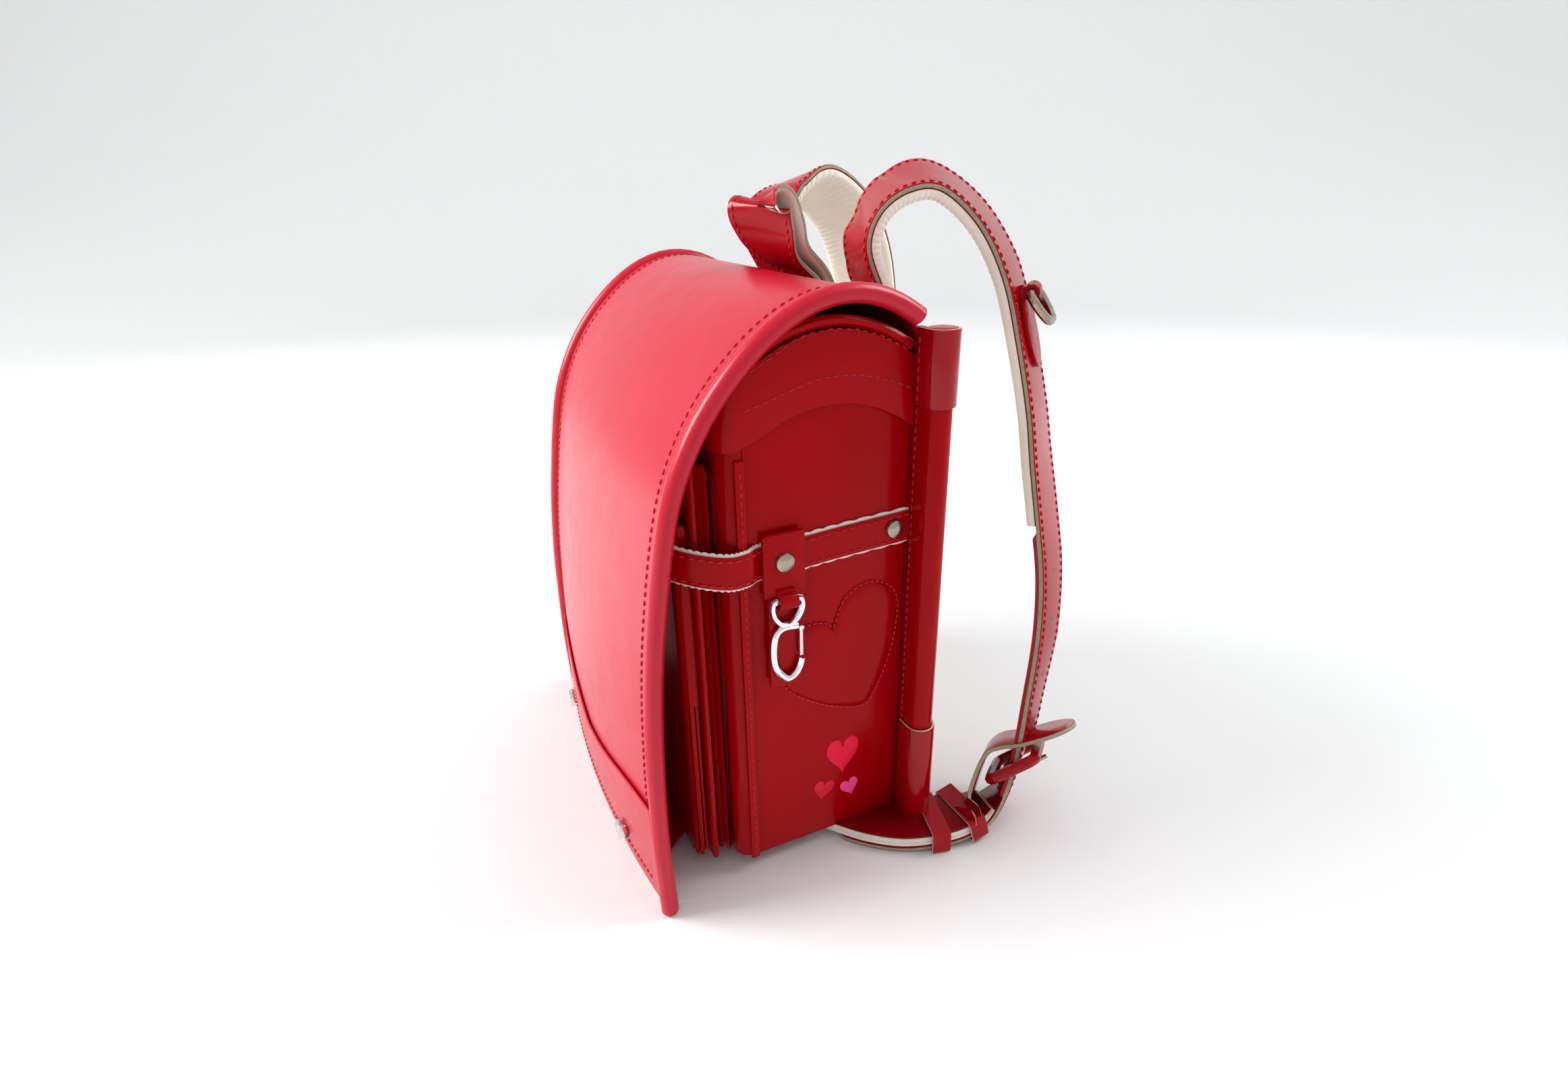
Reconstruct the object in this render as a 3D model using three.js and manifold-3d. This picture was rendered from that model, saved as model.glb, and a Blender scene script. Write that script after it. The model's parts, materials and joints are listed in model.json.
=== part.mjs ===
// School ransel: a stiff leather backpack with a full-length arched flap, two padded
// shoulder straps, a handle, side belts and a snap hook. Units are millimetres, +Z is up,
// +Y is the wearer's side, -Y the flap's front. The origin is the middle of the base's
// underside, on the plane that the gusset's floor lies in.

import * as THREE from 'three';
import { mergeVertices } from 'three/addons/utils/BufferGeometryUtils.js';
import Module from 'manifold-3d';

const wasm = await Module();
wasm.setup();

// Driving dimensions

const CLEAR = 0.3;              // gap between pieces that touch
const FLOOR_DROP = 9;           // the base stands this far above the floor, on straps and flap

const BAG = { width: 232, height: 275, side_depth: 90, wall: 2.6, arch: 16.5 };
const BACK = { panel: 3, pad: 8, pad_inset: 14, seat_y: 38 };
const FRONT = { depth: 11, radius: 10, wall: 2.4, height: 256 };
const SMALL = { width: 218, depth: 13, height: 234, pleat: 3.6, pleats: 3, wall: 2 };
const POCKET = { width: 208, depth: 8, height: 205, radius: 6, wall: 2 };

const FLAP = { width: 238, thick: 2.6, bow: 10, top: 308, reach: 108 };
const PIPING = { radius: 5, sides: 10 };
const TRIM = { height: 2.6, thick: 3.2 };
const OVERLAY = { thick: 1.5, side_height: 56, cusp_height: 35 };
const STUD = { size: 12, thick: 4, spread: 72, height: 8 };
const TONGUE = { wide: 200, narrow: 74, thick: 2, end_y: -34 };
const LOCK = { width: 40, depth: 22, height: 4 };

const BAND = { height: 34, thick: 2, rim: 2.9 };
const SEAM = { width: 5, thick: 2.4 };
const ROLL = { radius: 7, out: 11, back: 8, flange_thick: 2.4, rise: 14 };
const SLEEVE = { thick: 1.4, top: 37, bottom: 66 };

const BELT = { height: 20, thick: 2.6, level: 184, bulge: 4 };
const RIVET = { radius: 5.4, dome: 2.6, back_y: 29, front_y: -34.5 };
const TAB = { width: 22, thick: 2.4, rise: 10, roll: 4.4, bore: 2, tail: 50 };
const HEART = { width: 73, height: 80, thick: 2.2, y: 1, z: 121, tilt: 20 };

const HOOK = { length: 36, width: 19, rod: 3.4, bail: 13, bail_rod: 1.7 };
const GATE = { width: 3, thick: 1.8 };

const STRAP = { width: 46, narrow: 31, leather: 3, pad: 7, backing: 2.4, top: 346, reach: 122 };
const BUCKLE = { width: 46, length: 36, rod: 3.3, tilt: 45, prong: 1.3 };
const COVER = { thick: 2.4, length: 56, width: 36, tilt: 52, above: 14, below: 0.42 };
const KEEPER = { width: 11, thick: 1.8 };
const LOWER = { thick: 3.2 };
const PATCH = { width: 26, height: 46, thick: 2.2, roll: 4.4, bore: 2.5, roll_length: 10 };
const RING = { width: 26, height: 23, rod: 2 };
const HANG = { ring: 20, hook: 112 };    // degrees outward from lying along the strap
const HANDLE = { width: 42, thick: 3.4, rise: 61, lean: 37, tip: 0.4 };
const BRACKET = { width: 156, depth: 6.4, height: 34, z: 246 };

const SIDE_X = BAG.width / 2;
const BACK_Y = BACK.seat_y;
const SEAM_Y = BACK_Y - BAG.side_depth;
const FLOOR_Z = -FLOOR_DROP;

// Materials

function leather(colour, roughness = 0.3) {
  return new THREE.MeshStandardMaterial({ color: colour, roughness, metalness: 0 });
}

function metal(colour, roughness) {
  return new THREE.MeshStandardMaterial({ color: colour, roughness, metalness: 1 });
}

const MATERIAL = {
  leather: leather(0xc4102f),
  dark_leather: leather(0xa30d26),
  lining: leather(0xe9e4d8, 0.7),
  pad: leather(0xd8d0c0, 0.8),
  trim: leather(0xcfc9c2, 0.4),
  chrome: metal(0xd8dade, 0.12),
  nickel: metal(0xa8a18f, 0.35),
};

// Mesh helpers

function vec(x, y, z) {
  return new THREE.Vector3(x, y, z);
}

function signedVolume(position, index) {
  const [a, b, c] = [vec(0, 0, 0), vec(0, 0, 0), vec(0, 0, 0)];
  let volume = 0;
  for (let i = 0; i < index.length; i += 3) {
    a.fromBufferAttribute(position, index[i]);
    b.fromBufferAttribute(position, index[i + 1]);
    c.fromBufferAttribute(position, index[i + 2]);
    volume += a.dot(b.cross(c)) / 6;
  }
  return volume;
}

// A closed mesh from shared points and triangles, with its faces turned outwards.
function closedMesh(points, triangles) {
  const geometry = new THREE.BufferGeometry();
  geometry.setAttribute('position', new THREE.Float32BufferAttribute(points.flatMap((p) => [p.x, p.y, p.z]), 3));
  let index = triangles.flat();
  if (signedVolume(geometry.attributes.position, index) < 0) {
    index = triangles.flatMap(([a, b, c]) => [a, c, b]);
  }
  geometry.setIndex(index);
  return geometry;
}

// A sheet with thickness: front[i][j] and back[i][j] are its two faces.
function slab(front, back) {
  const rows = front.length;
  const columns = front[0].length;
  const points = [...front.flat(), ...back.flat()];
  const half = rows * columns;
  const at = (side, i, j) => side * half + i * columns + j;
  const triangles = [];
  const quad = (a, b, c, d) => triangles.push([a, b, c], [a, c, d]);
  for (let i = 0; i < rows - 1; i += 1) {
    for (let j = 0; j < columns - 1; j += 1) {
      quad(at(0, i, j), at(0, i, j + 1), at(0, i + 1, j + 1), at(0, i + 1, j));
      quad(at(1, i, j), at(1, i + 1, j), at(1, i + 1, j + 1), at(1, i, j + 1));
    }
    quad(at(0, i, 0), at(0, i + 1, 0), at(1, i + 1, 0), at(1, i, 0));
    const last = columns - 1;
    quad(at(0, i, last), at(1, i, last), at(1, i + 1, last), at(0, i + 1, last));
  }
  for (let j = 0; j < columns - 1; j += 1) {
    const last = rows - 1;
    quad(at(0, 0, j), at(1, 0, j), at(1, 0, j + 1), at(0, 0, j + 1));
    quad(at(0, last, j), at(0, last, j + 1), at(1, last, j + 1), at(1, last, j));
  }
  return closedMesh(points, triangles);
}

// A shape drawn in plan (x, y) and raised from one height to another.
function raise(shape, from, to, curveSegments = 6) {
  const geometry = new THREE.ExtrudeGeometry(shape, { depth: to - from, bevelEnabled: false, curveSegments });
  return geometry.translate(0, 0, from);
}

// A shape drawn in the side view (y, z) and extruded along +X between two places.
function across(shape, from, to, curveSegments = 8) {
  const geometry = new THREE.ExtrudeGeometry(shape, { depth: to - from, bevelEnabled: false, curveSegments });
  const turn = new THREE.Matrix4().makeBasis(vec(0, 1, 0), vec(0, 0, 1), vec(1, 0, 0));
  return geometry.applyMatrix4(turn).translate(from, 0, 0);
}

function polygon(points) {
  return new THREE.Shape(points.map(([a, b]) => new THREE.Vector2(a, b)));
}

function disc(radius, sides) {
  const corners = [];
  for (let i = 0; i < sides; i += 1) {
    const angle = (2 * Math.PI * (i + 0.5)) / sides;
    corners.push([radius * Math.cos(angle), radius * Math.sin(angle)]);
  }
  return polygon(corners);
}

// A round rod along a curve; closed rings share their first and last section.
function rod(curve, radius, steps, sides = 8) {
  return new THREE.ExtrudeGeometry(disc(radius, sides), { steps, extrudePath: curve, bevelEnabled: false });
}

function smooth(points, closed = false) {
  return new THREE.CatmullRomCurve3(points, closed, 'catmullrom', 0.5);
}

function bare(geometry) {
  const copy = geometry.clone();
  for (const name of Object.keys(copy.attributes)) {
    if (name !== 'position') copy.deleteAttribute(name);
  }
  return mergeVertices(copy, 1e-4);
}

function toSolid(geometry) {
  const merged = bare(geometry);
  return new wasm.Manifold(new wasm.Mesh({
    numProp: 3,
    vertProperties: new Float32Array(merged.attributes.position.array),
    triVerts: new Uint32Array(merged.index.array),
  }));
}

function fromSolid(solid) {
  const result = solid.getMesh();
  const geometry = new THREE.BufferGeometry();
  geometry.setAttribute('position', new THREE.BufferAttribute(new Float32Array(result.vertProperties), 3));
  geometry.setIndex(new THREE.BufferAttribute(new Uint32Array(result.triVerts), 1));
  return geometry;
}

function join(first, ...others) {
  return fromSolid(others.reduce((solid, other) => solid.add(toSolid(other)), toSolid(first)));
}

function cut(first, ...others) {
  return fromSolid(others.reduce((solid, other) => solid.subtract(toSolid(other)), toSolid(first)));
}

function overlapOf(first, second) {
  return fromSolid(toSolid(first).intersect(toSolid(second)));
}

// The same piece for the other side of the bag, at -X.
function mirrored(geometry) {
  const copy = bare(geometry).applyMatrix4(new THREE.Matrix4().makeScale(-1, 1, 1));
  const index = Array.from(copy.index.array);
  for (let i = 0; i < index.length; i += 3) {
    [index[i + 1], index[i + 2]] = [index[i + 2], index[i + 1]];
  }
  copy.setIndex(index);
  return copy;
}

const ransel = new THREE.Group();
ransel.name = 'school_ransel';

function place(parent, name, geometry, material) {
  const mesh = new THREE.Mesh(geometry, material);
  mesh.name = name;
  parent.add(mesh);
  return mesh;
}

// Each side piece is made for +X and mirrored for -X.
function placePair(parent, name, geometry, material) {
  place(parent, `${name}_right`, geometry, material);
  place(parent, `${name}_left`, mirrored(geometry), material);
}

function newGroup(name) {
  const group = new THREE.Group();
  group.name = name;
  ransel.add(group);
  return group;
}

// Main compartment: gusset, front wall, back panel and its pad

// The side panels' tops rise to an arch between the front seam and the back.
function archHeight(y) {
  const middle = (SEAM_Y + BACK_Y) / 2;
  const share = (y - middle) / (BAG.side_depth / 2);
  return BAG.height + BAG.arch * (1 - share * share);
}

// Everything above the arch, lowered by a drop, as a cutting block in the side view. In
// front of the level place the edge runs on level.
function aboveArch(drop, level = -Infinity, steps = 12) {
  const margin = 30;
  const from = SEAM_Y - margin;
  const to = BACK_Y + margin;
  const outline = [];
  for (let i = 0; i <= steps; i += 1) {
    const y = from + ((to - from) * i) / steps;
    outline.push([y, archHeight(Math.max(y, level)) - drop]);
  }
  outline.push([to, BAG.height + 4 * margin], [from, BAG.height + 4 * margin]);
  return across(polygon(outline), -SIDE_X - margin, SIDE_X + margin);
}

function makeGusset() {
  const inside = SIDE_X - BAG.wall;
  const tall = BAG.height + 2 * BAG.arch;
  const outline = polygon([
    [-SIDE_X, 0], [SIDE_X, 0], [SIDE_X, tall], [inside, tall],
    [inside, BAG.wall], [-inside, BAG.wall], [-inside, tall], [-SIDE_X, tall],
  ]);
  const turn = new THREE.Matrix4().makeBasis(vec(1, 0, 0), vec(0, 0, 1), vec(0, -1, 0));
  const geometry = new THREE.ExtrudeGeometry(outline, { depth: BAG.side_depth, bevelEnabled: false });
  return cut(geometry.applyMatrix4(turn).translate(0, BACK_Y, 0), aboveArch(0));
}

// A tray standing on end: open behind and above, with rounded front corners in plan.
function tray(halfWidth, behind, front, height, wall, radius, inset) {
  const outer = trayPlan(halfWidth, behind, front, radius, inset, 0);
  const inner = trayPlan(halfWidth, behind + wall, front, radius, inset, wall);
  const shell = cut(raise(outer, 0, height), raise(inner, wall, height + wall));
  return shell;
}

function trayPlan(halfWidth, behind, front, radius, inset, wall) {
  const x = halfWidth - wall;
  const y = front + wall;
  const r = Math.max(radius - wall, 1);
  const plan = new THREE.Shape();
  const side = inset(behind, y + r).map(([px, py]) => [px - wall, py]);
  plan.moveTo(side[0][0], side[0][1]);
  side.slice(1).forEach(([px, py]) => plan.lineTo(px, py));
  plan.lineTo(x, y + r);
  plan.absarc(x - r, y + r, r, 0, -Math.PI / 2, true);
  plan.lineTo(-x + r, y);
  plan.absarc(-x + r, y + r, r, -Math.PI / 2, -Math.PI, true);
  [...side].reverse().forEach(([px, py]) => plan.lineTo(-px, py));
  plan.closePath();
  return plan;
}

const frontY = SEAM_Y - CLEAR - FRONT.depth;
const smallY = frontY - CLEAR - SMALL.depth;
const pocketY = smallY - CLEAR - POCKET.depth;

function plainSide(halfWidth) {
  return (behind) => [[halfWidth, behind]];
}

// Folds like an accordion: the side goes in and out once for each pleat.
function pleatedSide(halfWidth) {
  return (behind, front) => {
    const rows = [];
    const step = (front - behind) / (2 * SMALL.pleats);
    for (let i = 0; i < 2 * SMALL.pleats; i += 1) {
      rows.push([halfWidth - (i % 2 ? SMALL.pleat : 0), behind + step * i]);
    }
    return rows;
  };
}

const compartment = newGroup('main_compartment');
place(compartment, 'gusset', makeGusset(), MATERIAL.leather);
place(compartment, 'front_wall', tray(SIDE_X, SEAM_Y - CLEAR, frontY, FRONT.height, FRONT.wall,
  FRONT.radius, plainSide(SIDE_X)), MATERIAL.leather);

function makeBackPanel() {
  const half = SIDE_X + CLEAR;
  const plate = new THREE.BoxGeometry(2 * half, BACK.panel, BAG.height);
  return plate.translate(0, BACK_Y + CLEAR + BACK.panel / 2, BAG.height / 2);
}

// The wearer's side: one soft pad with its face crowned between the edge rolls.
function makeBackPad() {
  const half = SIDE_X - BACK.pad_inset;
  const top = BRACKET.z - 2 * CLEAR;
  const seat = BACK_Y + 2 * CLEAR + BACK.panel;
  const columns = 8;
  const rows = 8;
  const face = [];
  const seatFace = [];
  for (let i = 0; i <= rows; i += 1) {
    const v = (2 * i) / rows - 1;
    face.push([]);
    seatFace.push([]);
    for (let j = 0; j <= columns; j += 1) {
      const u = (2 * j) / columns - 1;
      const crown = BACK.pad * (0.35 + 0.65 * (1 - u ** 4) * (1 - v ** 4));
      const z = BACK.pad_inset + (top - BACK.pad_inset) * (i / rows);
      face[i].push(vec(half * u, seat + crown, z));
      seatFace[i].push(vec(half * u, seat, z));
    }
  }
  return slab(face, seatFace);
}

place(compartment, 'back_panel', makeBackPanel(), MATERIAL.dark_leather);
place(compartment, 'back_pad', makeBackPad(), MATERIAL.pad);

// Front compartments

place(compartment, 'small_compartment', tray(SMALL.width / 2, frontY - CLEAR, smallY, SMALL.height,
  SMALL.wall, POCKET.radius / 2, pleatedSide(SMALL.width / 2)), MATERIAL.leather);
place(compartment, 'front_pocket', tray(POCKET.width / 2, smallY - CLEAR, pocketY, POCKET.height,
  POCKET.wall, POCKET.radius, plainSide(POCKET.width / 2)), MATERIAL.leather);

// Mouth band: it wraps the top of both sides and of the front wall, with a rolled rim

const bandX = SIDE_X + CLEAR;
const bandFront = frontY - CLEAR;
const flangeEdge = BACK_Y + ROLL.back - ROLL.radius;

function bandPlan(grow) {
  const r = FRONT.radius + grow;
  const x = bandX + grow;
  const y = bandFront - grow;
  const plan = new THREE.Shape();
  plan.moveTo(x, flangeEdge - 2 * CLEAR);
  plan.lineTo(x, y + r);
  plan.absarc(x - r, y + r, r, 0, -Math.PI / 2, true);
  plan.lineTo(-x + r, y);
  plan.absarc(-x + r, y + r, r, -Math.PI / 2, -Math.PI, true);
  plan.lineTo(-x, flangeEdge - 2 * CLEAR);
  plan.closePath();
  return plan;
}

function makeMouthBand() {
  const low = BAG.height - 3 * BAND.height;
  const high = BAG.height + 4 * BAG.arch;
  const ring = cut(raise(bandPlan(BAND.thick), low, high), raise(bandPlan(0), low - 1, high + 1));
  const lowered = aboveArch(BAND.height, SEAM_Y);
  return fromSolid(toSolid(ring).intersect(toSolid(lowered)).subtract(toSolid(aboveArch(0))));
}

function makeMouthRim() {
  const points = [];
  const steps = 10;
  for (let i = 0; i <= steps; i += 1) {
    const from = flangeEdge - BAND.rim;
    const y = from + ((SEAM_Y + BAND.rim - from) * i) / steps;
    points.push(vec(SIDE_X - BAG.wall / 2 + 1, y, archHeight(y) + 2 * CLEAR + BAND.rim));
  }
  return rod(smooth(points), BAND.rim, 14);
}

place(compartment, 'mouth_band', makeMouthBand(), MATERIAL.leather);
placePair(compartment, 'mouth_rim', makeMouthRim(), MATERIAL.leather);

// Stitched ridge of the front seam, from the base to just under the mouth band

function makeFrontSeam() {
  const top = archHeight(SEAM_Y) - BAND.height - 4;
  const strip = new THREE.BoxGeometry(SEAM.thick, SEAM.width, top);
  return strip.translate(SIDE_X + CLEAR + SEAM.thick / 2, SEAM_Y - SEAM.width / 2, top / 2);
}

placePair(compartment, 'front_seam', makeFrontSeam(), MATERIAL.leather);

// Back edge rolls and their wrapped sleeves

const rollX = SIDE_X + ROLL.out;
const rollY = BACK_Y + ROLL.back;

// Plan of the roll: a round bead with a flat flange that stands out from the side panel.
function rollPlan() {
  const r = ROLL.radius;
  const footX = SIDE_X + 2 * CLEAR;
  const plan = new THREE.Shape();
  plan.moveTo(footX, flangeEdge);
  plan.lineTo(rollX, flangeEdge);
  plan.absarc(rollX, rollY, r, -Math.PI / 2, Math.PI + Math.asin(1 - ROLL.flange_thick / r), false);
  plan.lineTo(footX, flangeEdge + ROLL.flange_thick);
  plan.closePath();
  return plan;
}

const rollTop = BAG.height + ROLL.rise;

function makeEdgeRoll() {
  return raise(rollPlan(), 0, rollTop, 10);
}

// The roll's outer face in plan, moved out by an offset: along the flange and round the bead.
function rollFace(offset, steps = 10) {
  const points = [[bandX + BAND.thick + CLEAR, flangeEdge - offset]];
  const r = ROLL.radius + offset;
  for (let i = 0; i <= steps; i += 1) {
    const angle = (-3 + (8 * i) / steps) * (Math.PI / 6);
    points.push([rollX + r * Math.cos(angle), rollY + r * Math.sin(angle)]);
  }
  return points;
}

// A sleeve wraps the roll like a folded strip and stays open on the bag's side.
function makeSleeve(from, to, thick) {
  const strip = [...rollFace(CLEAR + thick), ...rollFace(CLEAR).reverse()];
  return raise(polygon(strip), from, to);
}

placePair(compartment, 'edge_roll', makeEdgeRoll(), MATERIAL.leather);
placePair(compartment, 'top_sleeve', makeSleeve(rollTop - SLEEVE.top, rollTop, SLEEVE.thick), MATERIAL.leather);
placePair(compartment, 'bottom_sleeve', makeSleeve(0, SLEEVE.bottom, SLEEVE.thick), MATERIAL.leather);

// Flap: one arched sheet from the back, over the mouth and down the front to the floor

// Side view of the flap, from the back up over the arch and down the front. Depth is a share
// of the reach in front of the origin, height a share of the arch's top, and bow says how
// much of the middle's bulge shows there.
const FLAP_LINE = [
  { depth: 0.435, height: 0.86, bow: 0 },
  { depth: 0.42, height: 0.92, bow: 0 },
  { depth: 0.30, height: 0.962, bow: 0 },
  { depth: 0.14, height: 0.991, bow: 0 },
  { depth: -0.04, height: 1.0, bow: 0 },
  { depth: -0.2, height: 0.988, bow: 0.05 },
  { depth: -0.37, height: 0.955, bow: 0.1 },
  { depth: -0.53, height: 0.905, bow: 0.2 },
  { depth: -0.69, height: 0.835, bow: 0.3 },
  { depth: -0.83, height: 0.73, bow: 0.4 },
  { depth: -0.91, height: 0.59, bow: 0.5 },
  { depth: -0.97, height: 0.44, bow: 0.65 },
  { depth: -1.0, height: 0.27, bow: 0.8 },
  { depth: -1.01, height: 0.12, bow: 0.9 },
  { depth: -1.0, height: -0.02, bow: 1.0 },
];
const BACK_DEPTH = BACK_Y + BACK.panel + 2 * CLEAR + FLAP.thick / 2;

function flapPoint(row) {
  const depth = row.depth * FLAP.reach;
  return vec(row.bow, Math.min(depth, BACK_DEPTH), row.height * FLAP.top);
}

const flapLine = smooth(FLAP_LINE.map(flapPoint));

// The share along the flap's line at which it first rises to a height behind the arch.
function flapShareRising(height) {
  let low = 0;
  let high = 0.25;
  for (let i = 0; i < 24; i += 1) {
    const middle = (low + high) / 2;
    if (flapLine.getPoint(middle).z < height) low = middle;
    else high = middle;
  }
  return low;
}

// Behind the rolls' tops the flap narrows, because it hangs down between them.
const clearOfRolls = flapShareRising(rollTop + 2 * FLAP.thick);

// A point of the flap's middle surface, moved out along its normal. Across runs from -1 to 1.
function flapSurface(along, acrossShare, offset) {
  const at = flapLine.getPoint(along);
  const tangent = flapLine.getTangent(along);
  const normal = vec(0, tangent.z, -tangent.y).normalize();
  const bulge = FLAP.bow * at.x * (1 - acrossShare * acrossShare);
  const half = along < clearOfRolls ? SIDE_X - 2 : FLAP.width / 2;
  return vec(acrossShare * half, at.y, at.z).addScaledVector(normal, offset + bulge);
}

const flapBottom = FLOOR_Z + TRIM.height + CLEAR;

function makeFlap(steps = 26, columns = 10) {
  const faces = [FLAP.thick / 2, -FLAP.thick / 2].map((offset) => {
    const rows = [];
    for (let i = 0; i <= steps; i += 1) {
      const row = [];
      for (let j = 0; j <= columns; j += 1) {
        const point = flapSurface(i / steps, (2 * j) / columns - 1, offset);
        if (i === steps) point.z = flapBottom;
        row.push(point);
      }
      rows.push(row);
    }
    return rows;
  });
  return slab(...faces);
}

const pipingX = FLAP.width / 2 + CLEAR + PIPING.radius;

function makePiping(steps = 30) {
  const points = [];
  const start = flapShareRising(rollTop + PIPING.radius + CLEAR);
  for (let i = 0; i <= steps; i += 1) {
    const point = flapSurface(start + ((1 - start) * i) / steps, 1, 0);
    point.x = pipingX;
    points.push(point);
  }
  const lowest = points[points.length - 1];
  lowest.z = FLOOR_Z + PIPING.radius * 0.3;
  return cut(rod(smooth(points), PIPING.radius, 28, PIPING.sides), belowFloor());
}

function belowFloor() {
  const size = 4 * BAG.width;
  return new THREE.BoxGeometry(size, size, size).translate(0, 0, FLOOR_Z - size / 2);
}

// A pale bead along the flap's lower edge, on which the flap stands.
function makeTrim(columns = 12) {
  const grid = [TRIM.thick / 2, -TRIM.thick / 2].map((offset) => [0, 1].map((level) => {
    const row = [];
    for (let j = 0; j <= columns; j += 1) {
      const point = flapSurface(1, (2 * j) / columns - 1, offset);
      point.z = FLOOR_Z + TRIM.height * level;
      row.push(point);
    }
    return row;
  }));
  return slab(...grid);
}

const flap = newGroup('flap_assembly');
place(flap, 'flap', makeFlap(), MATERIAL.leather);
placePair(flap, 'flap_piping', makePiping(), MATERIAL.leather);
place(flap, 'flap_trim', makeTrim(), MATERIAL.trim);

// The share along the flap's line at which its front has a given height.
function flapShareAt(height) {
  let low = 0.5;
  let high = 1;
  for (let i = 0; i < 24; i += 1) {
    const middle = (low + high) / 2;
    if (flapLine.getPoint(middle).z > height) low = middle;
    else high = middle;
  }
  return low;
}

// Height of the overlay's ogee edge: high at the sides, with a cusp in the middle.
function overlayEdge(share) {
  const s = Math.abs(share);
  const ogee = s < 0.5 ? 2 * s * s : 1 - 2 * (1 - s) * (1 - s);
  return OVERLAY.cusp_height + (OVERLAY.side_height - OVERLAY.cusp_height) * (0.35 * Math.sqrt(s) + 0.65 * ogee);
}

function makeOverlay(steps = 3, columns = 20) {
  const seat = FLAP.thick / 2 + CLEAR;
  const lowest = flapShareAt(flapBottom + 1);
  const grid = [seat + OVERLAY.thick, seat].map((offset) => {
    const rows = [];
    for (let i = 0; i <= steps; i += 1) {
      const row = [];
      for (let j = 0; j <= columns; j += 1) {
        const share = 0.985 * ((2 * j) / columns - 1);
        const top = flapShareAt(overlayEdge(share));
        row.push(flapSurface(top + ((lowest - top) * i) / steps, share, offset));
      }
      rows.push(row);
    }
    return rows;
  });
  return slab(...grid);
}

place(flap, 'flap_overlay', makeOverlay(), MATERIAL.leather);

// A heart about the origin of the (y, z) plane, its tip down, one unit high.
function heartShape(width, height) {
  const w = width / 2;
  const shape = new THREE.Shape();
  shape.moveTo(0, -0.5 * height);
  shape.bezierCurveTo(0.25 * w, -0.32 * height, w, -0.08 * height, w, 0.22 * height);
  shape.bezierCurveTo(w, 0.42 * height, 0.72 * w, 0.5 * height, 0.52 * w, 0.5 * height);
  shape.bezierCurveTo(0.25 * w, 0.5 * height, 0.06 * w, 0.42 * height, 0, 0.26 * height);
  shape.bezierCurveTo(-0.06 * w, 0.42 * height, -0.25 * w, 0.5 * height, -0.52 * w, 0.5 * height);
  shape.bezierCurveTo(-0.72 * w, 0.5 * height, -w, 0.42 * height, -w, 0.22 * height);
  shape.bezierCurveTo(-w, -0.08 * height, -0.25 * w, -0.32 * height, 0, -0.5 * height);
  return shape;
}

// A steel stud lies flat on the overlay near each lower corner.
function makeStud() {
  const share = (2 * STUD.spread) / FLAP.width;
  const along = flapShareAt(STUD.height);
  const seat = flapSurface(along, share, FLAP.thick / 2 + OVERLAY.thick + 2 * CLEAR);
  const ahead = flapSurface(along, share + 0.05, FLAP.thick / 2 + OVERLAY.thick + 2 * CLEAR);
  const turn = Math.atan2(ahead.y - seat.y, ahead.x - seat.x);
  const geometry = raise(heartShape(STUD.size, STUD.size), CLEAR, STUD.thick, 4);
  return geometry.rotateX(Math.PI / 2).rotateZ(turn).translate(seat.x, seat.y, seat.z);
}

placePair(flap, 'stud', makeStud(), MATERIAL.nickel);

// Under the base: the flap's tongue and the turn lock that holds it

function makeTongue(columns = 8) {
  const top = -2 * CLEAR;
  const share = TONGUE.wide / FLAP.width;
  const outline = [[TONGUE.narrow / 2, TONGUE.end_y], [-TONGUE.narrow / 2, TONGUE.end_y]];
  for (let j = 0; j <= columns; j += 1) {
    const front = flapSurface(1, share * ((2 * j) / columns - 1), -FLAP.thick / 2 - 2 * CLEAR);
    outline.push([front.x, front.y]);
  }
  return raise(polygon(outline), top - TONGUE.thick, top);
}

function makeLock() {
  const plate = new THREE.BoxGeometry(LOCK.width, LOCK.depth, LOCK.height);
  const top = -3 * CLEAR - TONGUE.thick;
  return plate.translate(0, TONGUE.end_y - LOCK.depth, top - LOCK.height / 2);
}

place(flap, 'flap_tongue', makeTongue(), MATERIAL.leather);
place(flap, 'turn_lock', makeLock(), MATERIAL.nickel);

// Side belts: a strip sewn to the side that runs loosely round the front compartments

const beltX = bandX + BELT.thick / 2;

function beltRoute() {
  const clearOfSeam = bandX + SEAM.thick + CLEAR + BELT.thick / 2;
  const pocketX = POCKET.width / 2;
  return smooth([
    vec(beltX, flangeEdge - 2 * CLEAR, BELT.level + 4),
    vec(beltX, BACK_Y - BAG.side_depth / 2, BELT.level + 2),
    vec(beltX, RIVET.front_y, BELT.level),
    vec(beltX, RIVET.front_y - TAB.width / 2 - 1, BELT.level),
    vec(clearOfSeam + 1, SEAM_Y - SEAM.width / 4, BELT.level),
    vec(clearOfSeam + 1, smallY + SMALL.depth, BELT.level),
    vec(bandX - BELT.bulge / 2, smallY - 1, BELT.level + 2),
    vec(pocketX, pocketY - BELT.bulge, BELT.level + 5),
    vec(pocketX - 4 * BELT.bulge, pocketY - BELT.bulge, BELT.level + 6),
  ]);
}

function makeBelt(steps = 24) {
  const route = beltRoute();
  const grid = [1, -1].map((side) => {
    const rows = [];
    for (let i = 0; i <= steps; i += 1) {
      const at = route.getPoint(i / steps);
      const tangent = route.getTangent(i / steps);
      const normal = vec(-tangent.y, tangent.x, 0).normalize().multiplyScalar((side * BELT.thick) / 2);
      rows.push([-1, 1].map((edge) => at.clone().add(normal).add(vec(0, 0, (edge * BELT.height) / 2))));
    }
    return rows;
  });
  return slab(...grid);
}

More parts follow.
